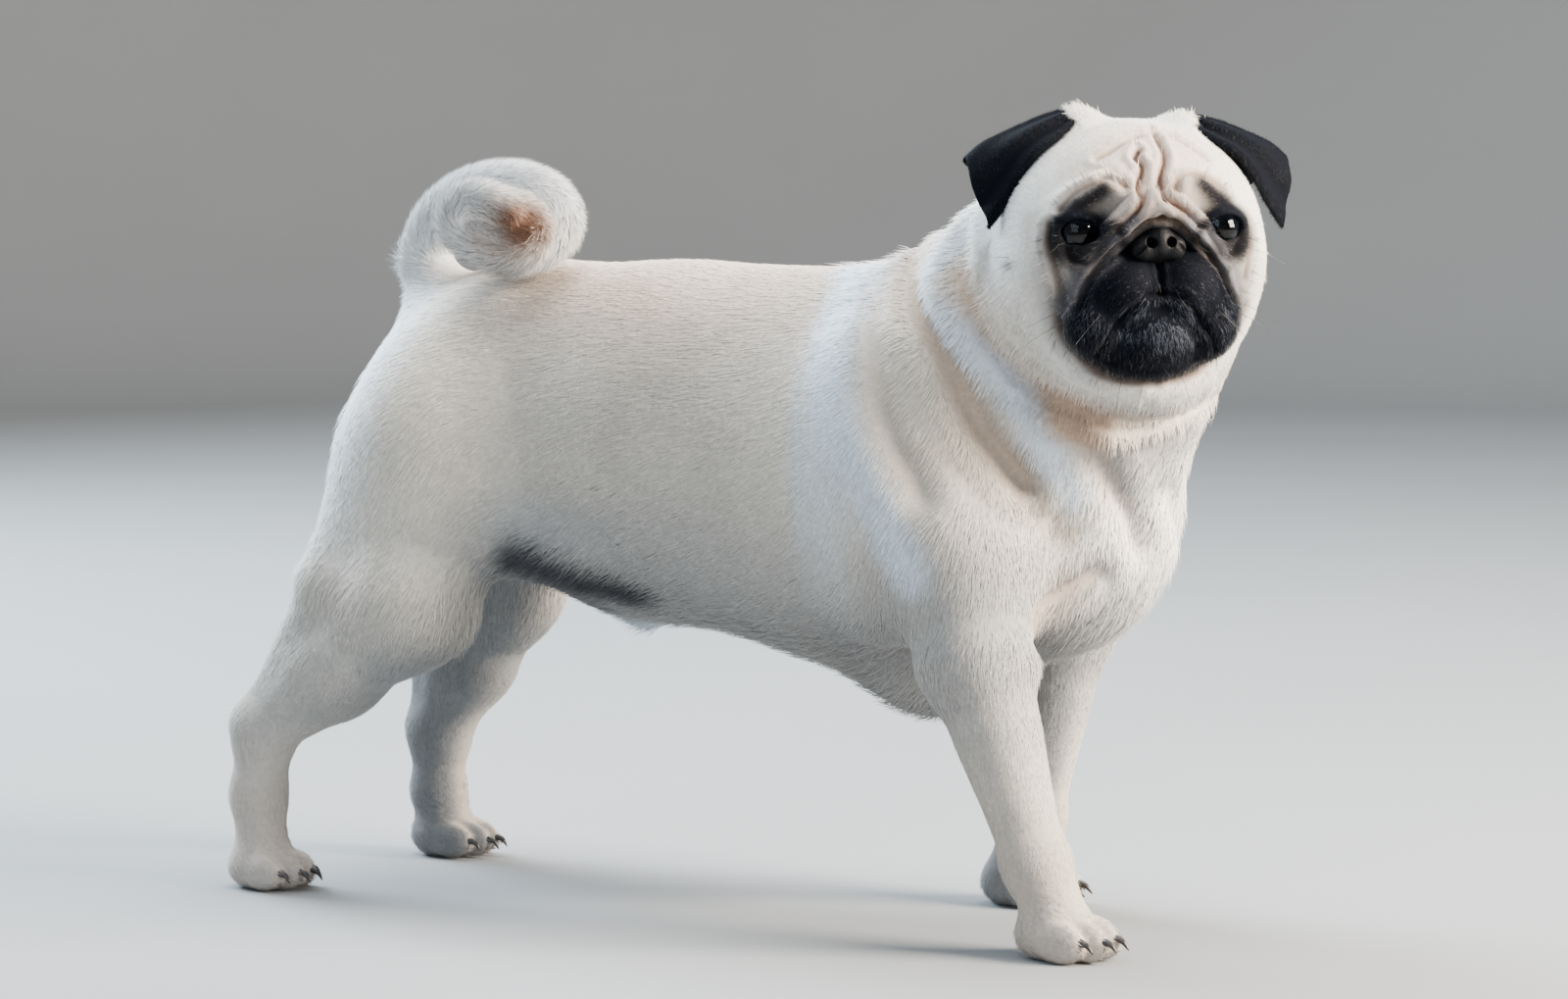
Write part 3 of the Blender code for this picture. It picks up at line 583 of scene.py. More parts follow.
def refine_head(mesh):
    """Halve the edges of the head, and those of the face again, where the folds are finest."""
    for middle, reach in REFINED:
        bm = bmesh.new()
        bm.from_mesh(mesh)
        centre = Vector(in_head(*middle))
        edges = {e for v in bm.verts if (v.co - centre).length < reach for e in v.link_edges}
        bmesh.ops.subdivide_edges(bm, edges=list(edges), cuts=1, use_grid_fill=True)
        bmesh.ops.triangulate(bm, faces=bm.faces)
        bm.to_mesh(mesh)
        bm.free()


def finished(bm):
    bmesh.ops.recalc_face_normals(bm, faces=bm.faces)
    mesh = bpy.data.meshes.new("mesh")
    bm.to_mesh(mesh)
    bm.free()
    return mesh


def smooth_shaded(mesh):
    mesh.polygons.foreach_set("use_smooth", [True] * len(mesh.polygons))


def placed(name, mesh):
    """The mesh as an object in the model's own frame, in metres."""
    set_points(mesh, (points_of(mesh) - vec(*ORIGIN)) * MM)
    return new_object(name, mesh)


def combined(mesh, other, operation):
    obj, tool = new_object("target", mesh), new_object("tool", other)
    modifier = obj.modifiers.new("Boolean", "BOOLEAN")
    modifier.operation = operation
    modifier.solver = "MANIFOLD"
    modifier.object = tool
    result = evaluated_mesh(obj)
    bpy.data.objects.remove(tool)
    return result


# Regions, each from 0 to 1


def ramp(values, start, end):
    t = np.clip((values - start) / (end - start), 0, 1)
    return t * t * (3 - 2 * t)


def blob(points, centre, radii, soft=0.35):
    """1 within an ellipsoid, falling to 0 outside it over soft of its size."""
    d = np.linalg.norm((points - vec(*centre)) / vec(*radii), axis=1)
    return 1 - ramp(d, 1 - soft, 1 + soft)


def head_weight(points):
    """1 on the head and 0 on the neck."""
    local = seen_from_head(points)
    skull = blob(local, (4, 0, -4), (64, 68, 58), 0.1)
    roll = blob(local, (48, 0, 2), (32, 44, 34), 0.1)
    return np.maximum(np.maximum(skull, roll), blob(local, (34, 0, -32), (44, 54, 44), 0.1))


def tail_share(points):
    """How near the tail each point is, and where along it, from root to tip."""
    line, share, _ = tail_line()
    nearest, place = np.full(len(points), 1e9), np.zeros(len(points))
    # Only the box that holds the tail is searched
    near = (points[:, 2] > 285) & (points[:, 0] < -50) & (points[:, 1] < 30)
    some = points[near]
    best, at = nearest[near], place[near]
    for a, b, sa, sb in zip(line, line[1:], share, share[1:]):
        t, d = along_stretch(some, a, b)
        closer = d < best
        best = np.where(closer, d, best)
        at = np.where(closer, sa + (sb - sa) * t, at)
    nearest[near], place[near] = best, at
    return nearest, place


def tail_weight(points):
    nearest, place = tail_share(points)
    near = 1 - ramp(nearest, 13, 16)
    near = np.maximum(near, blob(points, TAIL_HEART, (26, 18, 22), 0.1))
    return near * ramp(points[:, 2], 292, 306), place


def coat_depth(points):
    """How far the skin lies below the tips of the coat, in millimetres."""
    low = 1 - ramp(points[:, 2], 60, 150)
    depth = 2.2 - 1.0 * low
    depth = depth + 1.2 * blob(points, (120, 0, 300), (50, 60, 40), 0.5)
    depth = depth * (1 - head_weight(points)) + 0.7 * head_weight(points)
    weight, _ = tail_weight(points)
    return depth * (1 - weight) + 2.6 * weight


# Ears

EAR_ROOT = ((-14, 29, 38), (-16, 34, 36), (-18, 40, 32), (-20, 46, 27), (-22, 51, 20), (-22, 54, 13))
EAR_FOLD = ((-3, 31, 50), (-3, 41, 47), (-4, 50, 43.5), (-5, 58, 40), (-7, 66, 36), (-9, 73, 30))
EAR_EDGE = ((5, 28, 43), (9, 36, 38), (11, 44, 33), (11, 51, 25), (9, 59, 11), (5, 67, 0))
EAR_SKIN = 1.6
EAR_VOXEL = 0.6


def ear_sheet(side):
    """Rows of points from the skull over the fold to the free edge."""
    steps = 8
    rows = [curve(points, steps) for points in (EAR_ROOT, EAR_FOLD, EAR_EDGE)]
    grid = []
    for root, fold, edge in zip(*rows):
        profile = (
            root,
            0.45 * root + 0.55 * fold + vec(-4, 1, 0),
            fold + vec(-3, 0, -2),
            fold,
            fold + vec(3.5, 0, -1.5),
            0.6 * fold + 0.4 * edge + vec(3.4, 2, 1),
            0.32 * fold + 0.68 * edge + vec(1.2, 0.6, 0),
            0.14 * fold + 0.86 * edge + vec(3.2, 0, 0.6),
            edge + vec(1.5, 0, 0),
            edge - vec(0.6, 0, 0),
        )
        line = curve(profile, steps // 2) * vec(1, side, 1)
        grid.append(in_head_all(line + vec(0, EAR_SHIFT, -side * EAR_DROP)))
    return np.array(grid)


def ear_mesh(side):
    grid = ear_sheet(side)
    bm = bmesh.new()
    verts = [[bm.verts.new(p) for p in row] for row in grid]
    for a, b in zip(verts, verts[1:]):
        for k in range(len(a) - 1):
            bm.faces.new((a[k], a[k + 1], b[k + 1], b[k]))
    obj = new_object("ear", finished(bm))
    solidify = obj.modifiers.new("Solidify", "SOLIDIFY")
    solidify.thickness = EAR_SKIN
    solidify.offset = 0
    return remeshed(obj, EAR_VOXEL, 4)


def ear_lie(points):
    """How near an ear each point is, and the way its hair lies: down the flap from the fold."""
    nearest, lie = np.full(len(points), 1e9), np.zeros((len(points), 3))
    for side in (1, -1):
        grid = ear_sheet(side)
        rows, columns = grid.shape[:2]
        along = (grid[:-1, 1:] - grid[:-1, :-1]).reshape(-1, 3)
        corner = np.arange(rows * columns).reshape(rows, columns)
        quads = np.stack([corner[:-1, :-1], corner[:-1, 1:], corner[1:, 1:], corner[1:, :-1]], 2)
        places = grid.reshape(-1, 3)
        tree = BVHTree.FromPolygons(places.tolist(), quads.reshape(-1, 4).tolist())
        near = np.flatnonzero(boxed(points, places, 4))
        found = [tree.find_nearest(p)[2:] for p in points[near].tolist()]
        nearest[near] = [d for _, d in found]
        lie[near] = along[[quad for quad, _ in found]]
    return nearest, lie


# Markings and painted light and shade

CREAM = vec(0.77, 0.70, 0.59)
# pale hair, its blue a painted tint of cool light
COOL_LIT_SILVER = vec(0.77, 0.88, 0.99)
BEIGE = vec(0.64, 0.49, 0.39)
GREY_BEIGE = vec(0.49, 0.44, 0.38)
TAN = vec(0.50, 0.28, 0.16)
BLACK = vec(0.003, 0.004, 0.007)
SMOKE = vec(0.085, 0.07, 0.062)
ROLL = vec(0.20, 0.15, 0.125)
CREASE_SHADE = vec(0.11, 0.065, 0.05)
GRIZZLE = vec(0.10, 0.115, 0.15)
PINK = vec(0.66, 0.47, 0.39)
IVORY = vec(0.99, 1.0, 1.0)
CHEST = vec(0.94, 0.93, 0.90)
# painted shade: the grey laid low on the body, on the legs and beneath
SHADE_GREY = vec(0.29, 0.30, 0.31)
RUST = vec(0.26, 0.11, 0.055)
# a painted shadow, nearly black, for the groin
GROIN_SHADOW = vec(0.022, 0.024, 0.03)
DUN = vec(0.33, 0.28, 0.23)
BROWN = vec(0.26, 0.16, 0.10)
LIVER = vec(0.12, 0.05, 0.035)
SOOT = vec(0.018, 0.016, 0.016)
DUSK = vec(0.125, 0.12, 0.13)

# Pale and dark bands of the neck, shoulder and flank: colour, share, width, the sides they are on
# (1 is left, -1 right), and a line near the skin in body coordinates, given for the right
BANDS = (
    (COOL_LIT_SILVER, 0.9, 11, (1, -1), ((66, -14, 303), (74, -30, 298), (78, -59, 279), (86, -83, 249),
                                (101, -91, 219), (115, -91, 195), (130, -97, 172))),
    # the grey-beige, dun and brown bands lie along the neck's folds: the hair's colour, deepened as
    # painted shade
    (GREY_BEIGE, 0.7, 7, (-1,), ((92, -36, 300), (96, -53, 289), (104, -79, 264), (115, -87, 235),
                                 (132, -88, 205))),
    (COOL_LIT_SILVER, 0.8, 8, (-1,), ((136, -50, 321), (124, -55, 303), (123, -62, 291), (145, -70, 271),
                             (168, -70, 251), (179, -65, 228), (192, -53, 205))),
    (DUN, 0.7, 5.5, (-1,), ((101, -24, 310), (113, -58, 290), (138, -73, 261), (155, -70, 230),
                            (170, -63, 209), (189, -51, 187))),
    (BROWN, 0.75, 4.5, (-1,), ((135, -56, 314), (141, -65, 301), (150, -71, 275), (173, -71, 251),
                               (190, -67, 240), (207, -60, 235))),
    # painted shadow along the groin
    (GROIN_SHADOW, 0.95, 11, (1, -1), ((-86, -62, 164), (-70, -57, 160), (-52, -52, 153), (-32, -45, 146))),
)


def mixed(colours, colour, share):
    return colours + (colour - colours) * np.clip(share, 0, 1)[:, None]


# Patches of the coat, laid one over the other, the same on both sides: colour, share, centre,
# radii, softness, and the distances from the middle plane between which they come in
PATCHES = {
    "upper": (
        (BEIGE, 0.8, (-15, 0, 300), (118, 95, 58), 0.5, None),  # saddle
        (GREY_BEIGE, 0.55, (-20, 0, 235), (110, 120, 62), 0.5, (30, 70)),  # lower on the side
        (BEIGE, 0.35, (150, 0, 235), (30, 110, 70), 0.6, None),  # neck
        (COOL_LIT_SILVER, 0.7, (-185, 0, 230), (45, 90, 85), 0.5, None),  # rump
        (COOL_LIT_SILVER, 0.8, (84, 0, 225), (16, 130, 80), 0.7, None),  # edge of the shoulder
        (COOL_LIT_SILVER, 0.8, (170, 0, 320), (40, 60, 30), 0.7, None),  # nape
        (CHEST, 0.9, (205, 15, 180), (40, 60, 60), 0.5, None),  # chest
    ),
    "lower": (
        # painted shade: grey low on the side, in the flank's hollow and on the hocks
        (SHADE_GREY, 0.5, (-5, 0, 165), (100, 130, 38), 0.6, (30, 70)),  # low on the side
        (SHADE_GREY, 0.75, (-72, 0, 178), (46, 95, 20), 0.6, (30, 55)),  # flank
        (SHADE_GREY, 0.4, (-205, 0, 105), (60, 120, 52), 0.5, None),  # hocks
    ),
    # painted shade on the upper arms
    "arms": ((SHADE_GREY, 0.8, (150, 0, 150), (50, 130, 60), 0.6, (45, 70)),),
    "beneath": (
        # painted shadow in the groin
        (GROIN_SHADOW, 0.95, (-82, 0, 144), (32, 58, 18), 0.5, None),  # groin
        (COOL_LIT_SILVER, 0.8, (-50, 0, 126), (20, 14, 12), 0.5, None),  # sheath's tip
    ),
}


def patched(colours, points, patches):
    """The colours with the patches laid over them in turn."""
    out = np.abs(points[:, 1])
    for colour, share, centre, radii, soft, fade in patches:
        patch = blob(points, centre, radii, soft)
        if fade:
            patch = patch * ramp(out, *fade)
        colours = mixed(colours, colour, share * patch)
    return colours


def coat_colours(points, normals, folds, strokes):
    """The colour of the coat at each point. folds says how deep in a fold each one lies."""
    colours = np.tile(CREAM, (len(points), 1))
    _, y, z = points.T
    body = 1 - head_weight(points)
    colours = patched(colours, points, PATCHES["upper"])
    # Pinkish lower legs, then grey painted shade low down, inside the legs and beneath
    colours = mixed(colours, PINK, 0.35 * (1 - ramp(z, 20, 110)))
    colours = patched(colours, points, PATCHES["lower"])
    # painted shade on the insides of the legs
    inward_shade = ramp(-normals[:, 1] * np.sign(y), 0.1, 0.8) * (1 - ramp(z, 150, 190))
    colours = mixed(colours, SHADE_GREY * 0.6, 0.9 * inward_shade)
    colours = patched(colours, points, PATCHES["arms"])
    # painted shade, darker towards the bottom
    colours = mixed(colours, SHADE_GREY, 0.36 * (1 - ramp(z, 110, 230)) * body)
    # painted shade on the surfaces that face down
    underside_shade = ramp(-normals[:, 2], 0.05, 0.85) * ramp(z, 70, 100) * body
    colours = mixed(colours, SHADE_GREY * 0.8, 0.85 * underside_shade)
    colours = patched(colours, points, PATCHES["beneath"])
    # painted warm shade in the body's folds, by their depth
    colours = mixed(colours, TAN, 0.6 * np.clip(folds, 0, 1))
    # painted warm shade at the throat
    throat = blob(points, (194, -62, 236), (20, 16, 13), 0.6)
    colours = mixed(colours, TAN, 0.5 * throat)
    for colour, share, width, sides, line in BANDS:
        for side in sides:
            band = curve(line, 4) * vec(1, -side, 1)
            d = distance_to_line(points, band) / width
            colours = mixed(colours, colour, share * np.exp(-(d**3)))
    # The tail's pale outside and rust heart
    weight, place = tail_weight(points)
    colours = mixed(colours, IVORY, weight * 0.95)
    colours = mixed(colours, BEIGE, weight * 0.2 * ramp(place, 0.5, 0.8))
    near_heart = blob(points, vec(*TAIL_HEART) + vec(8, -12, 3), (20, 22, 17), 0.45)
    colours = mixed(colours, BEIGE, 0.75 * weight * near_heart)
    heart = blob(points, vec(*TAIL_HEART) + vec(10, -14, 5), (12, 18, 11), 0.5)
    colours = mixed(colours, RUST, 0.95 * heart)
    return head_colours(points, colours, folds, strokes)


# Strokes of colour on the face, as (left, up) seen from the front: colour, share, width, line
STROKES = (
    (DUSK * 0.85, 0.8, 5.2, ((-13, 4), (-18, -3), (-24, -10), (-31, -17), (-36, -23), (-40, -30))),
    (DUSK * 1.7, 0.75, 3.6, ((14, 4), (19, -2), (27, -8), (33, -15), (38, -24))),
    (DUN, 0.35, 6.0, ((-50, 5), (-51, -5), (-49, -14), (-46, -24))),
    (BLACK, 0.98, 5.4, ((39, 6), (33, 11), (27, 15), (22, 20))),
    (BLACK, 0.98, 5.4, ((-41, 5), (-35, 10), (-28, 14), (-23, 18))),
    (SOOT, 0.7, 6.5, ((27, -9), (36, -10), (43, -5))),
    (SOOT, 0.7, 6.5, ((-27, -9), (-36, -11), (-43, -7))),
    (BLACK, 0.9, 3.0, ((22, 4), (17, 0), (15, -5))),
    (BLACK, 0.9, 3.0, ((-22, 4), (-17, 0), (-15, -5))),
    # painted shade: a dark brown line in the cheek's crease
    (LIVER, 0.8, 1.7, ((-45, 4), (-46, -5), (-44, -14), (-41, -24), (-40, -30))),
)


def laid_on_face(lines, pieces):
    """Lines of (left, up) points laid on the face from the front."""
    lines = [curve([(95, *p) for p in line], 5) for line in lines]
    places = in_head_all(np.vstack(lines))
    for _ in range(40):
        places = places - HEAD_AXES[0] * blend_distance(pieces, places)[:, None] * 0.8
    ends = np.cumsum([len(line) for line in lines])
    return np.split(places, ends[:-1])


def under_roll(left, up):
    """1 on the muzzle below the fold of the nose roll."""
    edge = np.array(PAIRED_FOLDS[0][2])
    fold_up = np.interp(np.abs(left), edge[:, 0], edge[:, 1])
    return ramp(fold_up - up, 1, 4) * (1 - ramp(np.abs(left), 32, 38)) * ramp(up, -54, -46)


def head_colours(points, colours, folds, strokes):
    local = seen_from_head(points)
    forward, left, up = local.T
    weight = head_weight(points)
    front = ramp(forward, 12, 30) * weight
    # a painted cool tint of shade over the whole head
    colours = mixed(colours, COOL_LIT_SILVER, 0.25 * weight)
    forehead = blob(local, (40, 0, 28), (40, 32, 22), 0.5) * weight
    colours = mixed(colours, BEIGE, 0.6 * forehead)
    # Dark nose roll, mask, patches round the eyes and marks over them
    roll = blob(local, (50, 0, -2), (30, 36, 22), 0.45) * front
    colours = mixed(colours, ROLL, 0.85 * roll)
    # painted shade in the face's folds: tan along them and a dark line in each
    colours = mixed(colours, TAN * 0.8, 0.6 * folds * front)
    colours = mixed(colours, CREASE_SHADE, 0.85 * folds**2 * front)
    dusk = blob(local, (50, -1, -26), (34, 49, 30), 0.3) * front
    colours = mixed(colours, SMOKE, 0.7 * dusk)
    mask = blob(local, (52, -1, -38), (42, 45, 29), 0.2)
    colours = mixed(colours, BLACK, np.maximum(mask, under_roll(left, up)) * front)
    nose = blob(local, (60, 0, -10), (24, 18, 14), 0.3)
    colours = mixed(colours, BLACK, nose)
    for side in (1, -1):
        centre = (EYE_AT[0] + 6, side * (EYE_AT[1] + 1), -1.5)
        patch = blob(local, centre, (24, 15.5, 13.5), 0.25) * front
        colours = mixed(colours, BLACK, patch)
    for (colour, share, width, _), line in zip(STROKES, strokes):
        near = boxed(points, line, 3 * width)
        d = distance_to_line(points[near], line) / width
        colours[near] = mixed(colours[near], colour, share * np.exp(-(d**3)))
    mole = blob(local, (20, -56, -13), (6, 3.4, 2.4), 0.6)
    colours = mixed(colours, SMOKE, 0.75 * mole)
    near, _ = ear_lie(points)
    return mixed(colours, BLACK, 1 - ramp(near, 1.4, 2.6))


# The lie of the coat: (place, direction) in body coordinates, the same on both sides
BODY_LIE = (
    ((60, 85, 235), (-0.9, 0, -0.35)),
    ((0, 78, 250), (-1, 0, -0.15)),
    ((0, 78, 190), (-0.9, 0, -0.4)),
    ((-80, 70, 250), (-1, 0, -0.25)),
    ((-80, 66, 190), (-0.8, 0, -0.45)),
    ((-60, 60, 160), (-0.75, 0, -0.6)),
    ((-150, 60, 250), (-0.7, 0, -0.7)),
    ((-190, 50, 225), (-0.35, 0, -0.9)),
    ((-150, 80, 185), (-0.45, 0, -0.9)),
    ((-165, 75, 140), (-0.4, 0, -1)),
    ((-205, 72, 100), (-0.5, 0, -0.9)),
    ((-228, 70, 50), (0, 0, -1)),
    ((-205, 65, 12), (1, 0, -0.4)),
    ((110, 90, 205), (-0.45, 0, -0.9)),
    ((150, 88, 160), (-0.2, 0, -1)),
    ((150, 80, 110), (0.15, 0, -1)),
    ((165, 75, 60), (0.15, 0, -1)),
    ((205, 70, 12), (1, 0, -0.4)),
    ((40, 75, 150), (-0.8, 0, -0.5)),
    ((20, 0, 110), (-1, 0, 0)),
    ((-60, 0, 140), (-0.9, 0, -0.3)),
    ((205, 10, 190), (0, 0, -1)),
    ((185, 10, 140), (-0.4, 0, -0.9)),
    ((205, 40, 215), (0, 0.2, -1)),
    ((50, 0, 298), (-1, 0, 0)),
    ((-60, 0, 298), (-1, 0, 0)),
    ((-140, 0, 290), (-0.9, 0, 0.1)),
    ((-200, 0, 250), (-0.2, 0, -1)),
    ((-205, 0, 200), (0, 0, -1)),
    ((110, 0, 330), (-0.9, 0, -0.3)),
    ((120, 60, 285), (-0.75, 0, -0.65)),
    ((160, 72, 265), (-0.45, 0, -0.9)),
    ((-165, 20, 120), (0, 0, -1)),
)

# The same in the head's directions
HEAD_LIE = (
    ((62, 0, 8), (-0.2, 0, 1)),
    ((50, 0, 26), (-0.4, 0, 1)),
    ((36, 0, 42), (-0.8, 0, 0.6)),
    ((0, 0, 50), (-1, 0, 0)),
    ((60, 6, -16), (0, 0.8, -0.6)),
    ((58, 14, -22), (-0.2, 0.7, -0.7)),
    ((50, 30, -38), (0, 0.25, -1)),
    ((60, 0, -45), (0, 0, -1)),
    ((55, 10, -58), (-0.3, 0, -1)),
    ((46, 36, -14), (-0.4, 0.8, -0.5)),
    ((52, 22, -4), (-0.4, 0.8, -0.4)),
    ((20, 58, -10), (-0.85, 0.2, -0.5)),
    ((0, 62, -25), (-0.85, 0, -0.55)),
    ((42, 28, 20), (-0.4, 0.5, 0.8)),
    ((30, 35, 32), (-0.7, 0.5, 0.5)),
    ((15, 52, 18), (-0.95, 0.3, 0)),
    ((-50, 0, 20), (-0.5, 0, -0.8)),
    ((30, 0, -70), (-0.7, 0, -0.7)),
    ((20, 40, -55), (-0.7, 0.1, -0.7)),
    ((-5, 30, 52), (-0.6, 0.2, 0.4)),
)


def guides():
    """Places and directions of the lie over the whole body."""
    places, ways = [], []
    for place, way in BODY_LIE:
        for side in (1, -1):
            places.append(vec(place[0], side * place[1], place[2]))
            ways.append(vec(way[0], side * way[1], way[2]))
    for place, way in HEAD_LIE:
        for side in (1, -1):
            places.append(in_head(place[0], side * place[1], place[2]))
            ways.append(vec(way[0], side * way[1], way[2]) @ HEAD_AXES)
    ways = np.array(ways)
    return np.array(places), ways / np.linalg.norm(ways, axis=1)[:, None]


def lie_of(points, normals):
    """The direction in the skin along which the hair lies at each point."""
    places, ways = guides()
    lie = np.zeros_like(points)
    for start in range(0, len(points), 20000):
        some = slice(start, start + 20000)
        d2 = ((points[some, None] - places[None]) ** 2).sum(axis=2)
        weight = 1 / (d2 + 60) ** 2
        lie[some] = weight @ ways / weight.sum(axis=1)[:, None]
    line, share, _ = tail_line()
    heading = np.gradient(line, axis=0)
    weight, place = tail_weight(points)
    along = np.array([np.interp(place, share, heading[:, k]) for k in range(3)]).T
    along /= np.linalg.norm(along, axis=1)[:, None]
    lie = lie * (1 - weight[:, None]) + along * weight[:, None]
    near, down = ear_lie(points)
    on_ear = near < 3.6
    lie[on_ear] = down[on_ear]
    lie -= normals * (lie * normals).sum(axis=1)[:, None]
    return lie / np.maximum(np.linalg.norm(lie, axis=1), 1e-6)[:, None]


# Skin


def skin_mesh(pieces, face_lines):
    mesh = joined(pieces, (FIRST_VOXEL, VOXEL), coat_depth)
    press_folds(mesh, body_fold_lines())
    points = points_of(mesh)
    points[:, 2] = np.maximum(points[:, 2], SOLE)
    set_points(mesh, points)
    refine_head(mesh)
    ease_head(mesh, pieces)
    press_folds(mesh, face_lines)
    for side in (1, -1):
        mesh = combined(mesh, ear_mesh(side), "UNION")
    mesh.materials.clear()
    smooth_shaded(mesh)
    return mesh


def ease_head(mesh, pieces):
    """Ease the finer head back onto its masses, away from the neck's folds."""
    middle, reach = REFINED[0]
    for _ in range(2):
        points = points_of(mesh)
        local = seen_from_head(points)
        chosen = np.linalg.norm(local - vec(*middle), axis=1) < reach + 2
        chosen &= local[:, 0] > 0
        step = np.zeros(len(points))
        some = points[chosen]
        step[chosen] = np.clip(blend_distance(pieces, some) + coat_depth(some), -1, 1)
        set_points(mesh, points - normals_of(mesh) * step[:, None])


def sunk(depth, line, pieces):
    """The line moved from the outline of the solids down into its fold."""
    steps = np.eye(3) * 0.5
    slope = np.array([
        blend_distance(pieces, line + step) - blend_distance(pieces, line - step) for step in steps
    ]).T
    return line - unit(slope) * (0.6 * depth + 1.0)


def fold_depth(points, lines, pieces, full_depth):
    """How deep in a fold each point of the finished skin lies, 1 in folds of the full depth."""
    inside = np.zeros(len(points))
    for depth, width, line in lines:
        line = sunk(depth, line, pieces)
        near = boxed(points, line, 4 * width)
        d = distance_to_line(points[near], line) / (width * 1.2)
        inside[near] = np.maximum(inside[near], np.exp(-d**2) * min(depth / full_depth, 1))
    return inside


def set_colours(mesh, colours):
    layer = mesh.color_attributes.new("coat", "FLOAT_COLOR", "POINT")
    full = np.ones((len(colours), 4), np.float32)
    full[:, :3] = colours
    layer.data.foreach_set("color", full.ravel())


# Materials


def with_inputs(node, **values):
    """The node, with its inputs set. An underscore stands for a space in an input's name."""
    for name, value in values.items():
        node.inputs[name.replace("_", " ")].default_value = value
    return node


def base_material(name, roughness, specular=0.5, **values):
    material = bpy.data.materials.new(name)
    material.use_nodes = True
    tree = material.node_tree
    shader = tree.nodes["Principled BSDF"]
    with_inputs(shader, Roughness=roughness, Specular_IOR_Level=specular, **values)
    return material, tree, shader


def bumped(tree, shader, height, strength, distance):
    bump = with_inputs(tree.nodes.new("ShaderNodeBump"), Strength=strength, Distance=distance)
    tree.links.new(height, bump.inputs["Height"])
    tree.links.new(bump.outputs["Normal"], shader.inputs["Normal"])


def painted(tree):
    """The colours kept with the points of the mesh."""
    attribute = tree.nodes.new("ShaderNodeAttribute")
    attribute.attribute_name = "coat"
    return attribute.outputs["Color"]


def plain(tree, *colour):
    base = tree.nodes.new("ShaderNodeRGB")
    base.outputs[0].default_value = (*colour, 1)
    return base.outputs[0]


def noise(tree, scale, detail=3, stretch=None):
    coordinates = tree.nodes.new("ShaderNodeTexCoord")
    texture = with_inputs(tree.nodes.new("ShaderNodeTexNoise"), Scale=scale, Detail=detail)
    source = coordinates.outputs["Object"]
    if stretch is not None:
        mapping = with_inputs(tree.nodes.new("ShaderNodeMapping"), Scale=stretch)
        tree.links.new(source, mapping.inputs["Vector"])
        source = mapping.outputs["Vector"]
    tree.links.new(source, texture.inputs["Vector"])
    return texture


def shifted(tree, colour, texture, low, high):
    """The colour made darker and lighter by a texture."""
    spread = tree.nodes.new("ShaderNodeMapRange")
    with_inputs(spread, From_Min=0.3, From_Max=0.7, To_Min=low, To_Max=high)
    tree.links.new(texture.outputs["Fac"], spread.inputs["Value"])
    scaled = tree.nodes.new("ShaderNodeVectorMath")
    scaled.operation = "SCALE"
    tree.links.new(colour, scaled.inputs[0])
    tree.links.new(spread.outputs["Result"], scaled.inputs["Scale"])
    return scaled.outputs["Vector"]


def coat_material(name, roughness, sheen, specular):
    """The markings and painted shade, with broad and fine variation and a fine bump."""
    looks = {"Sheen_Weight": sheen, "Sheen_Roughness": 0.4}
    material, tree, shader = base_material(name, roughness, specular, **looks)
    broad = shifted(tree, painted(tree), noise(tree, 28, 4), 0.93, 1.06)
    fine = shifted(tree, broad, noise(tree, 420, 2), 0.9, 1.08)
    tree.links.new(fine, shader.inputs["Base Color"])
    bumped(tree, shader, noise(tree, 900, 3).outputs["Fac"], 0.4, 0.0004)
    return material


def nose_material():
    looks = {"Coat_Weight": 0.03, "Coat_Roughness": 0.3}
    material, tree, shader = base_material("nose_leather", 0.55, 0.16, **looks)
    cells = with_inputs(tree.nodes.new("ShaderNodeTexVoronoi"), Scale=1400)
    coordinates = tree.nodes.new("ShaderNodeTexCoord")
    tree.links.new(coordinates.outputs["Object"], cells.inputs["Vector"])
    colour = shifted(tree, painted(tree), noise(tree, 160, 3), 0.75, 1.5)
    tree.links.new(colour, shader.inputs["Base Color"])
    bumped(tree, shader, cells.outputs["Distance"], 0.5, 0.0004)
    return material


def claw_material():
    material, tree, shader = base_material("claw", 0.28)
    base = plain(tree, 0.03, 0.026, 0.024)
    colour = shifted(tree, base, noise(tree, 500, 3, (1, 1, 0.2)), 0.6, 1.8)
    tree.links.new(colour, shader.inputs["Base Color"])
    bumped(tree, shader, noise(tree, 900, 2).outputs["Fac"], 0.2, 0.0003)
    return material


def eye_material():
    material, tree, shader = base_material("eye", 0.7, 0.0)
    colour = shifted(tree, painted(tree), noise(tree, 900, 4), 0.85, 1.15)
    tree.links.new(colour, shader.inputs["Base Color"])
    return material


def cornea_material():
    looks = {"Base_Color": (1, 1, 1, 1), "Transmission_Weight": 1.0, "IOR": 1.33}
    material, tree, shader = base_material("cornea", 0.0, **looks)
    bumped(tree, shader, noise(tree, 60, 2).outputs["Fac"], 0.01, 0.0001)
    return material


# Coat


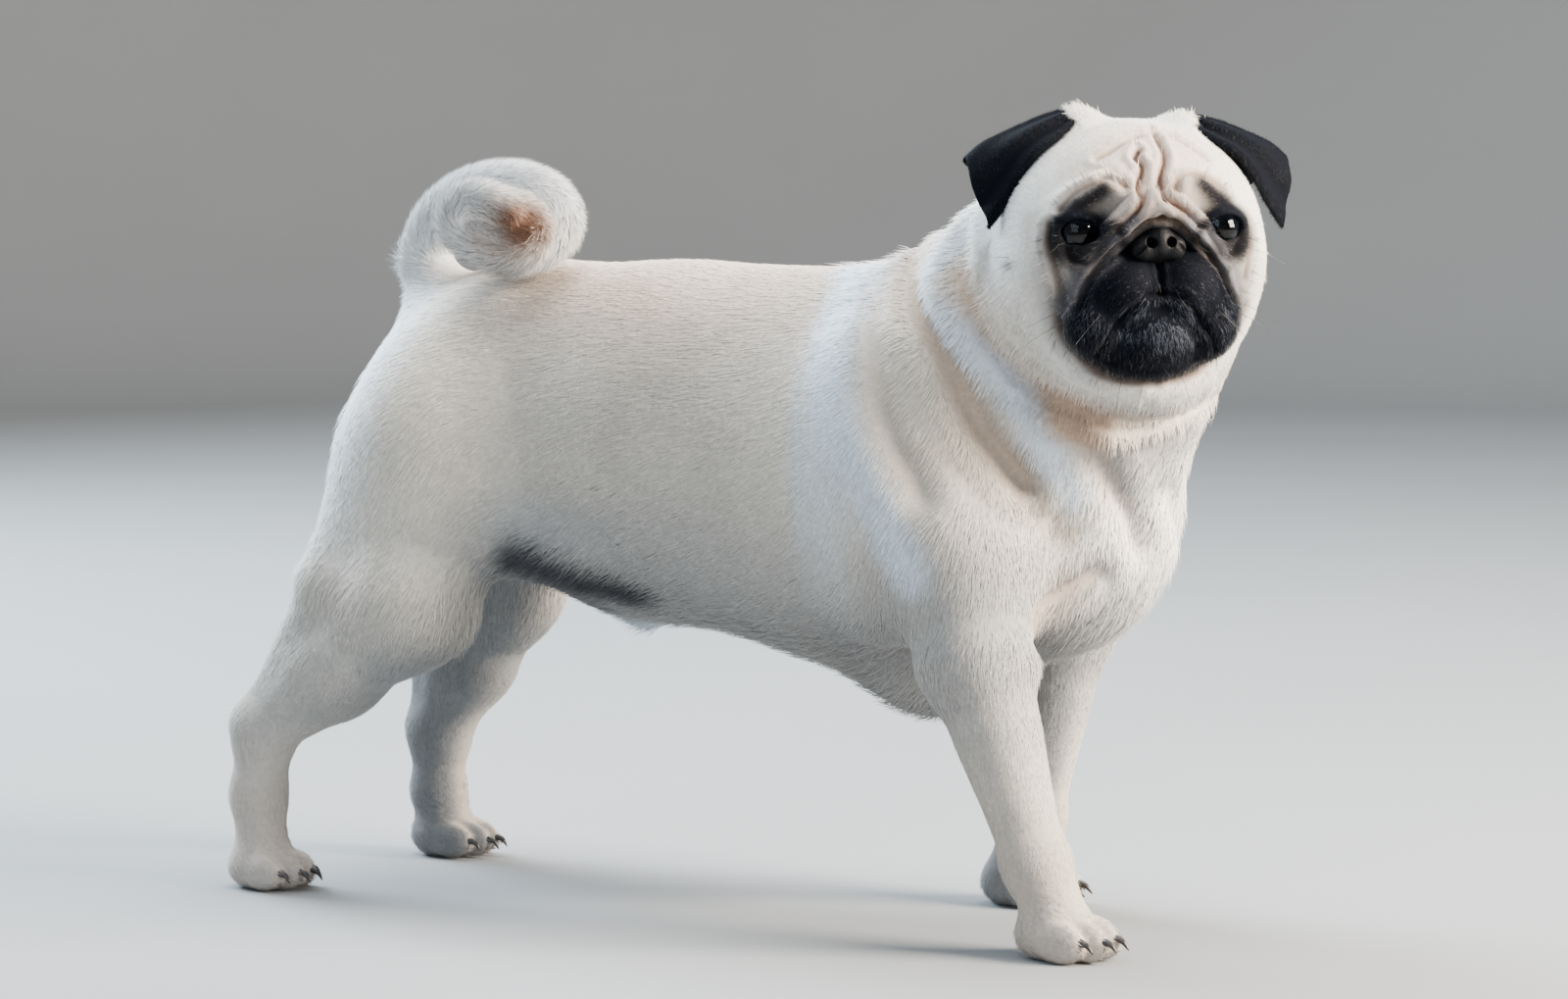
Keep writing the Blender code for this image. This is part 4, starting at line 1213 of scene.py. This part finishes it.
class Roots:
    """Places on the skin where hairs grow."""

    def __init__(self, mesh, rng):
        self.points, self.normals = points_of(mesh), normals_of(mesh)
        self.corners = triangles_of(mesh)
        a, b, c = (self.points[self.corners[:, k]] for k in range(3))
        self.area = np.linalg.norm(np.cross(b - a, c - a), axis=1) / 2
        self.middle = (a + b + c) / 3
        self.rng = rng

    def chosen(self, weight, count):
        """count places, spread evenly where the weight of the triangles is the same."""
        total = np.cumsum(self.area * weight)
        spots = (np.arange(count) + self.rng.random(count)) / count * total[-1]
        faces = np.minimum(np.searchsorted(total, spots), len(total) - 1)
        u, v = self.rng.random(count), self.rng.random(count)
        flip = u + v > 1
        u[flip], v[flip] = 1 - u[flip], 1 - v[flip]
        return faces, np.array([1 - u - v, u, v]).T

    def at(self, values, faces, shares):
        return (values[self.corners[faces]] * shares[:, :, None]).sum(axis=1)


ROOT_DEPTH = 0.35  # how far the tufts start under the skin

# The triangles of a tuft, of one segment or two
BLADE_FACES = {
    1: ((0, 3, 1), (1, 3, 2), (2, 3, 0), (0, 1, 2)),
    2: ((0, 4, 1), (0, 3, 4), (1, 5, 2), (1, 4, 5), (2, 3, 0), (2, 5, 3),
        (3, 6, 4), (4, 6, 5), (5, 6, 3), (0, 1, 2)),
}


def unit(v):
    return v / np.maximum(np.linalg.norm(v, axis=1), 1e-9)[:, None]


def tufts_mesh(place, normal, lie, length, width, lift, droop, segments):
    """Closed tapered blades. lift and droop are angles over the skin at the root and tip."""
    across = np.cross(normal, lie)
    first = lie * np.cos(lift)[:, None] + normal * np.sin(lift)[:, None]
    last = lie * np.cos(droop)[:, None] + normal * np.sin(droop)[:, None]
    base = place - normal * ROOT_DEPTH
    half = (width / 2)[:, None]
    ring = [base - across * half, base + normal * half * 0.9, base + across * half]
    if segments == 1:
        middle = unit(first + last)
        rows = ring + [base + middle * length[:, None]]
    else:
        knee = base + first * (length * 0.5)[:, None]
        up = np.cross(across, -first)
        rows = ring + [knee - across * half * 0.75, knee + up * half * 0.7,
                       knee + across * half * 0.75]
        rows.append(knee + last * (length * 0.5)[:, None])
    verts = np.stack(rows, axis=1).reshape(-1, 3)
    verts[:, 2] = np.maximum(verts[:, 2], SOLE / 2)
    per = len(rows)
    faces = np.array(BLADE_FACES[segments])
    count = len(place)
    corners = (faces[None] + (np.arange(count) * per)[:, None, None]).reshape(-1)
    mesh = bpy.data.meshes.new("tufts")
    mesh.vertices.add(len(verts))
    mesh.vertices.foreach_set("co", verts.ravel())
    mesh.loops.add(len(corners))
    mesh.loops.foreach_set("vertex_index", corners.astype(np.int32))
    total = count * len(faces)
    mesh.polygons.add(total)
    mesh.polygons.foreach_set("loop_start", np.arange(total, dtype=np.int32) * 3)
    mesh.update(calc_edges=True)
    return mesh, per, len(faces)


def skin_unwrap(mesh):
    """A reduced copy of the skin with an unwrap, to look up the place of each root."""
    obj = new_object("unwrap", mesh.copy())
    decimate = obj.modifiers.new("Decimate", "DECIMATE")
    decimate.ratio = UNWRAP_FACES / len(triangles_of(mesh))
    reduced = new_object("unwrapped", evaluated_mesh(obj))
    bpy.ops.object.select_all(action="DESELECT")
    reduced.select_set(True)
    bpy.context.view_layer.objects.active = reduced
    bpy.ops.object.mode_set(mode="EDIT")
    bpy.ops.mesh.select_all(action="SELECT")
    bpy.ops.uv.smart_project(angle_limit=math.radians(66), island_margin=0.004)
    bpy.ops.object.mode_set(mode="OBJECT")
    data = reduced.data
    corners = triangles_of(data)
    loops = np.empty(len(data.loop_triangles) * 3, np.int32)
    data.loop_triangles.foreach_get("loops", loops)
    uv = np.empty(len(data.loops) * 2)
    data.uv_layers.active.data.foreach_get("uv", uv)
    uv = uv.reshape(-1, 2)[loops].reshape(-1, 3, 2)
    points = points_of(data)
    tree = BVHTree.FromPolygons(points.tolist(), corners.tolist(), all_triangles=True)
    bpy.data.objects.remove(reduced)
    return tree, points[corners], uv


def unwrapped_places(unwrap, places):
    tree, triangles, uv = unwrap
    found = np.array([tree.find_nearest(p)[2] for p in places.tolist()])
    a, b, c = (triangles[found, k] for k in range(3))
    ab, ac, ap = b - a, c - a, places - a
    d00, d01, d11 = ((p * q).sum(axis=1) for p, q in ((ab, ab), (ab, ac), (ac, ac)))
    d20, d21 = (ap * ab).sum(axis=1), (ap * ac).sum(axis=1)
    under = np.maximum(d00 * d11 - d01 * d01, 1e-9)
    v = np.clip((d11 * d20 - d01 * d21) / under, 0, 1)
    w = np.clip((d00 * d21 - d01 * d20) / under, 0, 1 - v)
    shares = np.array([1 - v - w, v, w]).T
    return (uv[found] * shares[:, :, None]).sum(axis=1)


PATCH = 0.003  # the size of a tuft's patch on the unwrap, as a share of it
DARK_PIECES = {"coat_mask": "mask_coat", "coat_ears": "ear_coat"}


def add_patches(mesh, places, per, faces):
    """Give each tuft a small patch at the place of its root on the skin's unwrap."""
    layer = mesh.uv_layers.new(name="OFBake")
    corner = np.array([vert for face in BLADE_FACES[1 if faces == 4 else 2] for vert in face])
    spread = {
        4: vec(0, 0.5, 1, 0.5, 0, 0, 0, 1),
        7: vec(0, 0.5, 1, 0.15, 0.5, 0.85, 0.5, 0, 0, 0, 0.5, 0.5, 0.5, 1),
    }[per].reshape(2, per).T
    spread = spread + np.arange(per)[:, None] * vec(0, 0.02)
    offsets = (spread[corner] - 0.5) * PATCH
    uv = (places[:, None] + offsets[None]).reshape(-1, 2)
    layer.data.foreach_set("uv", np.clip(uv, 0, 1).ravel())


# How many tufts each coat piece has
COUNTS = {
    "coat_face": 42000,
    "coat_mask": 24000,
    "coat_ears": 24000,
    "coat_tail": 46000,
    "coat_fore_right": 49000,
    "coat_fore_left": 40000,
    "coat_hind_right": 49000,
    "coat_hind_left": 40000,
    "coat_long": 17000,
}

# Where the longer hair grows: share, centre, radii
LONG_HAIR = (
    (1, (130, 0, 315), (60, 70, 45)),  # nape
    (0.3, (200, 10, 185), (40, 60, 70)),  # chest
    (1, (-80, 0, 145), (60, 75, 28)),  # flank
    (0.7, (-205, 0, 180), (30, 90, 70)),  # backs of the thighs
    (0.6, (40, 0, 115), (110, 50, 30)),  # brisket
)

# The tufts of each coat piece: length and width in millimetres, lift at the root and droop at the
# tip in degrees over the skin, how far they stray from the lie, in radians, and their segments
SHORT_TUFT = (8.2, 0.62, 11, 4, 0.13, 1)
TUFTS = {
    "coat_face": (5.2, 0.42, 13, 6, 0.15, 1),
    "coat_mask": (2.4, 0.27, 17, 6, 0.3, 1),
    "coat_ears": (2.6, 0.34, 12, 6, 0.2, 1),
    "coat_tail": (10, 0.46, 25, 11, 0.2, 1),
    "coat_long": (11, 0.5, 18, 8, 0.18, 2),
}


def tuft_size(name, places, folds):
    """Length and width at each place: finer on the legs and muzzle, longer on the chin."""
    length, width, *_ = TUFTS.get(name, SHORT_TUFT)
    forward, _, up = seen_from_head(places).T
    if name == "coat_face":
        muzzle = ramp(forward, 18, 38)
        return (length - 2.5 * muzzle) * (1 - 0.4 * folds * muzzle), width - 0.14 * muzzle
    if name == "coat_mask":
        return length + 2.4 * ramp(-up, 15, 45), width
    if name in TUFTS:
        return length, width
    low = 1 - ramp(places[:, 2], 60, 150)
    return length - 3.2 * low, width - 0.17 * low


def tuft_colours(name, colour, place, rng):
    """The skin's colours, varied from tuft to tuft, with grey hairs in the mask."""
    count = len(place)
    tone = 1 + 0.07 * rng.normal(0, 1, count)
    pale = rng.random(count) ** 6 * ramp(-colour[:, 0], -0.2, -0.02)
    colour = colour * tone[:, None] + 0.03 * pale[:, None]
    if name == "coat_mask":
        colour = colour * np.exp(0.7 * rng.normal(0, 1, count))[:, None]
        grey = rng.random(count) < 0.6 * grizzle(place)
        colour = mixed(colour, GRIZZLE, grey * rng.random(count))
    return np.clip(colour, 0.002, 1)


def coat_piece(name, skin, weight, count, material, unwrap):
    """One coat piece, grown from the skin where the weight is."""
    roots, colours, lies, folds = skin
    faces, shares = roots.chosen(weight, count)
    place = roots.at(roots.points, faces, shares)
    normal = unit(roots.at(roots.normals, faces, shares))
    lie = roots.at(lies, faces, shares)
    lie = unit(lie - normal * (lie * normal).sum(axis=1)[:, None])
    fold = roots.at(folds[:, None], faces, shares)[:, 0]
    rng = roots.rng
    length, width = tuft_size(name, place, fold)
    *_, lift, droop, stray, segments = TUFTS.get(name, SHORT_TUFT)
    droop = np.full(count, math.radians(droop))
    length = length * (0.75 + 0.5 * rng.random(count)) * (1 - 0.45 * fold)
    turn = rng.normal(0, 1, count) * stray
    across = np.cross(normal, lie)
    lie = lie * np.cos(turn)[:, None] + across * np.sin(turn)[:, None]
    lift = math.radians(lift) * (0.6 + 0.8 * rng.random(count))
    width = width * (0.8 + 0.4 * rng.random(count))
    mesh, per, sides = tufts_mesh(place, normal, lie, length, width, lift, droop, segments)
    colour = tuft_colours(name, roots.at(colours, faces, shares), place, rng)
    colour = np.repeat(colour, per, axis=0)
    # painted shade: each tuft darker at the root, lighter at the tip
    shade = np.tile(np.linspace(0.9, 1.06, per), count)
    set_colours(mesh, colour * shade[:, None])
    add_patches(mesh, unwrapped_places(unwrap, place), per, sides)
    soft = np.repeat(normal, per, axis=0)
    smooth_shaded(mesh)
    mesh.normals_split_custom_set_from_vertices(soft.tolist())
    mesh.materials.append(material)
    obj = placed(name, mesh)
    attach(obj, "root")
    return obj


def grizzle(places):
    """Where grey hairs stand among the black ones: the chin and the edges of the lips."""
    local = seen_from_head(places)
    chin = blob(local, (58, 2, -39), (24, 17, 9), 0.6)
    lips = blob(local, (44, 0, -30), (30, 44, 24), 0.4) * ramp(np.abs(local[:, 1]), 20, 32)
    return np.maximum(chin, 0.45 * lips)


def regions(middle, dark, folds):
    """Where each coat piece grows, as a weight for every triangle of the skin."""
    face = head_weight(middle) * (1 - 0.7 * folds)
    ears = ear_lie(middle)[0] < 2.2
    on_ear = ears.astype(float)
    face = face * (1 - on_ear)
    tail = tail_weight(middle)[0] * (1 - on_ear)
    rest = (1 - face) * (1 - tail) * (1 - on_ear)
    right = (middle[:, 1] < 0).astype(float)
    fore = (middle[:, 0] > 5).astype(float)
    out = np.abs(middle[:, 1])
    long = np.max([share * blob(middle, *place, 0.5) for share, *place in LONG_HAIR], axis=0)
    muzzle = 0.7 + 1.3 * ramp(seen_from_head(middle)[:, 0], 5, 40)
    return {
        "coat_face": face * muzzle * (1 - dark),
        "coat_mask": face * muzzle * dark,
        "coat_ears": on_ear,
        "coat_tail": tail,
        "coat_fore_right": rest * fore * right,
        "coat_fore_left": rest * fore * (1 - right),
        "coat_hind_right": rest * (1 - fore) * right,
        "coat_hind_left": rest * (1 - fore) * (1 - right),
        "coat_long": rest * long * (0.6 + 0.4 * ramp(out, 0, 50)),
    }


# Nose, eyes, claws, whiskers

# Each nostril's slit, from the round opening outward under the wing
NOSTRIL = ((63.5, 5.0, -3.4), (62.5, 7.4, -5), (60.5, 9.6, -7.6), (57.5, 12, -10.5))


def nostrils():
    hollows = []
    for side in (1, -1):
        hole = (in_head(66, side * 4.1, -4.8), in_head(58.5, side * 4.6, -4.2))
        hollows.append(Limb(*hole, 2.4, 2.0, soft=0.8))
        hollows += chain(mirrored(NOSTRIL, side), 2, 1.3, 0.7, soft=0.8)
    return hollows


def nose_object():
    mesh = joined(nose_pieces(), NOSE_VOXELS, hollows=nostrils())
    middle = in_head_all(curve(((63, 0, 2), (65, 0, -4), (63, 0, -11)), 4))
    press_folds(mesh, [(0.9, 0.7, middle)])
    points = points_of(mesh)
    # painted shade: darker deep in the nostrils
    inside = 1 - ramp(blend_distance(nostrils(), points, ()), -0.2, 1.2)
    leather = np.tile(vec(0.003, 0.003, 0.004), (len(points), 1))
    set_colours(mesh, mixed(leather, vec(0.001, 0.001, 0.001), inside))
    smooth_shaded(mesh)
    mesh.materials.append(nose_material())
    return placed("nose_leather", mesh)


def ball_at_eye(side, rings, shaped):
    """A ball facing out of the eye's socket. shaped places a point by its angle from ahead."""
    bm = bmesh.new()
    turn = Matrix((np.roll(eye_axes(side), -1, axis=0).T).tolist()).to_4x4()
    bmesh.ops.create_uvsphere(bm, u_segments=64, v_segments=rings, radius=1)
    for vert in bm.verts:
        vert.co = shaped(vert.co, math.acos(max(-1, min(1, vert.co.z))))
    bmesh.ops.transform(bm, matrix=Matrix.Translation(eye_centre(side)) @ turn, verts=bm.verts)
    mesh = finished(bm)
    smooth_shaded(mesh)
    return mesh


def eye_colour(angle, iris, pupil):
    """Pupil, iris that darkens outward, and the white behind a dark rim."""
    if angle < pupil:
        return vec(0.001, 0.001, 0.001)
    if angle < iris:
        # the iris's blue is a painted reflection of cool light
        return vec(0.003, 0.005, 0.010) * (1.1 - 0.8 * (angle - pupil) / (iris - pupil))
    white = min(1, max(0, (angle - iris) / 0.25))
    return vec(0.004, 0.003, 0.003) + vec(0.05, 0.04, 0.04) * white


def eyeball(side):
    """An opaque ball with a dished iris, and its colours."""
    iris, pupil = math.radians(IRIS), math.radians(PUPIL)
    radius = EYE_RADIUS - 0.25
    flat = math.cos(iris) * radius
    colours = []

    def shaped(place, angle):
        colours.append(eye_colour(angle, iris, pupil))
        place = place * radius
        if angle < iris:
            place.z = flat - 0.5 * (1 - angle / iris)
        return place

    mesh = ball_at_eye(side, 96, shaped)
    set_colours(mesh, np.array(colours))
    return mesh


def cornea(side):
    """The clear outside of the eye, bulging a little in front."""

    def shaped(place, angle):
        return place * (EYE_RADIUS - 0.05 + 0.9 * math.exp(-((angle / 0.55) ** 2)))

    return ball_at_eye(side, 64, shaped)


def horn(line, radius, sides, power):
    """A closed tapered tube along a line. A smaller power keeps it thick for longer."""
    bm = bmesh.new()
    rings = []
    count = len(line)
    headings = np.gradient(line, axis=0)
    for k in range(count - 1):
        ahead = Vector(headings[k]).normalized()
        across = ahead.orthogonal().normalized()
        up = ahead.cross(across)
        size = radius * (1 - k / (count - 1)) ** power
        ring = []
        for n in range(sides):
            a = 2 * math.pi * n / sides
            out = math.cos(a) * across + math.sin(a) * up
            ring.append(bm.verts.new(Vector(line[k]) + size * out))
        rings.append(ring)
    tip = bm.verts.new(line[-1])
    for a, b in zip(rings, rings[1:]):
        shift = min(range(sides), key=lambda s: (a[0].co - b[s].co).length)
        for n in range(sides):
            m = (n + 1) % sides
            bm.faces.new((a[n], a[m], b[(m + shift) % sides], b[(n + shift) % sides]))
    last = rings[-1]
    for n in range(sides):
        bm.faces.new((last[n], last[(n + 1) % sides], tip))
    bm.faces.new(list(reversed(rings[0])))
    mesh = finished(bm)
    smooth_shaded(mesh)
    return mesh


def merged(meshes):
    bm = bmesh.new()
    for mesh in meshes:
        bm.from_mesh(mesh)
    out = bpy.data.meshes.new("merged")
    bm.to_mesh(out)
    bm.free()
    return out


def claws():
    """Four short curved claws on each paw."""
    made = []
    for _, leg, heading, scale in PAWS:
        ahead, across = paw_axes(heading)
        base = vec(leg["knuckle"][0], leg["knuckle"][1], 0)
        for offset, lead in TOES:
            start = base + ahead * (lead + 9) * scale + across * offset * scale
            start[2] = 10.5 * scale
            line = curve((start, start + ahead * 5 + vec(0, 0, -1),
                          start + ahead * 8.6 * scale + vec(0, 0, -5)), 4)
            made.append(horn(line, 2.2 * scale, 10, 0.7))
    return merged(made)


# Whiskers: (forward, left, up) of the root, the way it points, and its length
WHISKER_RADIUS = 0.16
WHISKERS = (
    ((48, -32, -26), (-0.5, -1, -0.1), 22), ((46, -35, -31), (-0.5, -1, -0.3), 30),
    ((45, -36, -37), (-0.4, -1, -0.45), 26), ((50, -26, -36), (0.1, -0.8, -0.7), 18),
    ((48, 32, -26), (-0.5, 1, -0.1), 22), ((46, 35, -31), (-0.5, 1, -0.3), 28),
    ((45, 36, -37), (-0.4, 1, -0.45), 24), ((50, 26, -36), (0.1, 0.8, -0.7), 18),
    ((44, -14, -62), (0.1, -0.3, -1), 16), ((44, 12, -62), (0.1, 0.35, -1), 16),
    ((22, -56, -13), (-0.3, -0.9, -0.4), 13), ((21, -56, -11), (0.2, -0.9, 0.2), 8),
    ((22, -56, -15), (0.3, -0.9, -0.5), 9), ((20, 57, -13), (-0.3, 0.9, -0.3), 12),
    ((45, -22, 19), (0.1, -0.3, 1), 8), ((45, 22, 19), (0.1, 0.3, 1), 8),
)


def whiskers(tree):
    """Whiskers growing from the nearest skin, each sagging toward its tip."""
    made = []
    for root, way, length in WHISKERS:
        start = np.array(tree.find_nearest(in_head(*root))[0])
        way = unit((vec(*way) @ HEAD_AXES)[None])[0]
        line = [start - way * 1.0]
        for k in range(1, 9):
            t = k / 8
            line.append(start + way * length * t + vec(0, 0, -0.16 * length * t * t))
        made.append(horn(np.array(line), WHISKER_RADIUS, 5, 0.6))
    return merged(made)


# Stage

# The camera, at the photograph's angle: degrees ahead of square, and metres
CAMERA_AHEAD = 27
CAMERA_TARGET = (0.02, 0, 0.19)
CAMERA_DISTANCE = 2.4
CAMERA_HEIGHT = 0.40  # a little above the back
CAMERA_LENS = 118.8

# Lights: name, place and size in metres, power in watts, colour
LIT_POINT = (0, 0, 0.2)
LIGHTS = (
    ("above", (-0.1, 0.3, 2.3), 1.8, 145, (0.97, 0.99, 1)),
    ("behind_left", (-2.0, 0.6, 1.3), 1.2, 185, (0.72, 0.87, 1)),
    ("behind_right", (2.0, 0.25, 1.0), 1.0, 280, (1, 0.88, 0.75)),
    ("sky", (0.08, -2.3, 1.4), 1.8, 23, (0.62, 0.80, 1)),
)

# The floor's profile from the middle out: a disc, a round rise and a wall, in metres
FLOOR_RADIUS = 3.4
FLOOR_BEND = 0.9
WALL_HEIGHT = 3.4
FLOOR_SIDES = 96


def camera():
    azimuth = math.radians(CAMERA_AHEAD)
    target = vec(*CAMERA_TARGET)
    rise = CAMERA_HEIGHT - target[2]
    level = math.sqrt(CAMERA_DISTANCE**2 - rise**2)
    place = target + vec(math.sin(azimuth) * level, -math.cos(azimuth) * level, rise)
    data = bpy.data.cameras.new("camera")
    data.lens = CAMERA_LENS
    data.sensor_width = 36
    obj = bpy.data.objects.new("camera", data)
    pug.objects.link(obj)
    shift = vec(*ORIGIN) * MM
    obj.location = place - shift
    obj.rotation_euler = Vector(target - place).to_track_quat("-Z", "Y").to_euler()
    bpy.context.scene.camera = obj


def light(name, place, size, power, colour):
    """A square lamp that faces the middle of the animal."""
    data = bpy.data.lights.new(name, "AREA")
    data.size = size
    data.energy = power
    data.color = colour
    obj = bpy.data.objects.new(name, data)
    pug.objects.link(obj)
    obj.location = place
    facing = Vector(LIT_POINT) - Vector(place)
    obj.rotation_euler = facing.to_track_quat("-Z", "Y").to_euler()


def stage():
    """A plain floor that rises into a wall all round, the studio's air and the lights."""
    profile = [(0.02, 0), (1.5, 0), (FLOOR_RADIUS, 0)]
    for a in np.linspace(0.1, 1.57, 12):
        out, up = math.sin(a) * FLOOR_BEND, math.cos(a) * FLOOR_BEND
        profile.append((FLOOR_RADIUS + out, FLOOR_BEND - up))
    profile.append((FLOOR_RADIUS + FLOOR_BEND, WALL_HEIGHT))
    turns = np.linspace(0, 2 * math.pi, FLOOR_SIDES, endpoint=False)
    bm = bmesh.new()
    rings = []
    for radius, height in profile:
        ring = [(radius * math.cos(a), radius * math.sin(a), height) for a in turns]
        rings.append([bm.verts.new(place) for place in ring])
    for inner, outer in zip(rings, rings[1:]):
        for k in range(FLOOR_SIDES):
            n = (k + 1) % FLOOR_SIDES
            bm.faces.new((inner[k], outer[k], outer[n], inner[n]))
    bm.faces.new(rings[0])
    mesh = finished(bm)
    smooth_shaded(mesh)
    floor = new_object("floor", mesh)
    material, tree, shader = base_material("floor", 0.85, 0.1)
    colour = shifted(tree, plain(tree, 0.28, 0.29, 0.295), noise(tree, 3, 3), 0.98, 1.02)
    tree.links.new(colour, shader.inputs["Base Color"])
    floor.data.materials.append(material)
    world = bpy.data.worlds.new("studio")
    world.use_nodes = True
    background = world.node_tree.nodes["Background"]
    with_inputs(background, Color=(0.80, 0.90, 1, 1), Strength=0.28)
    bpy.context.scene.world = world
    for row in LIGHTS:
        light(*row)


def main():
    rng = np.random.default_rng(SEED)
    camera()
    stage()
    pieces = masses()
    face_lines = face_fold_lines(pieces)
    mesh = skin_mesh(pieces, face_lines)
    roots = Roots(mesh, rng)
    points, normals = roots.points, roots.normals
    folds = np.maximum(
        fold_depth(points, face_lines, pieces, full_depth=3),
        fold_depth(points, body_fold_lines(), pieces, full_depth=7),
    )
    strokes = laid_on_face([line for *_, line in STROKES], pieces)
    colours = coat_colours(points, normals, folds, strokes)
    lies = lie_of(points, normals)
    unwrap = skin_unwrap(mesh)
    coat = coat_material("coat", 0.62, 0.12, 0.25)
    dusky = coat_material("dark_coat", 0.6, 0.0, 0.06)
    dark = 1 - ramp(colours[roots.corners].mean(axis=(1, 2)), 0.06, 0.14)
    grown = regions(roots.middle, dark, folds[roots.corners].mean(axis=1))
    for name, weight in grown.items():
        material = dusky if name in DARK_PIECES else coat
        count = int(COUNTS[name] * TUFT_SHARE)
        coat_piece(name, (roots, colours, lies, folds), weight, count, material, unwrap)
    hairs = whiskers(BVHTree.FromPolygons(points.tolist(), roots.corners.tolist()))
    set_colours(mesh, colours * SKIN_SHADE)
    mesh.materials.append(coat_material("skin", 0.8, 0.0, 0.05))
    skin = placed("skin", mesh)
    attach(skin, "root")
    others = ("nose", "eye_left", "eye_right")
    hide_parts(*[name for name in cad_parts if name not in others])
    nose = nose_object()
    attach(nose, "root")
    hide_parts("nose")
    ball, clear = eye_material(), cornea_material()
    for side, word in ((1, "left"), (-1, "right")):
        inner, outer = eyeball(side), cornea(side)
        inner.materials.append(ball)
        outer.materials.append(clear)
        eye = placed(f"eyeball_{word}", inner)
        lens = placed(f"cornea_{word}", outer)
        for piece in (eye, lens):
            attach(piece, "root")
        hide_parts(f"eye_{word}")
    nails = claws()
    nails.materials.append(claw_material())
    hairs.materials.append(claw_material())
    for name, data in (("claws", nails), ("whiskers", hairs)):
        piece = placed(name, data)
        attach(piece, "root")


main()
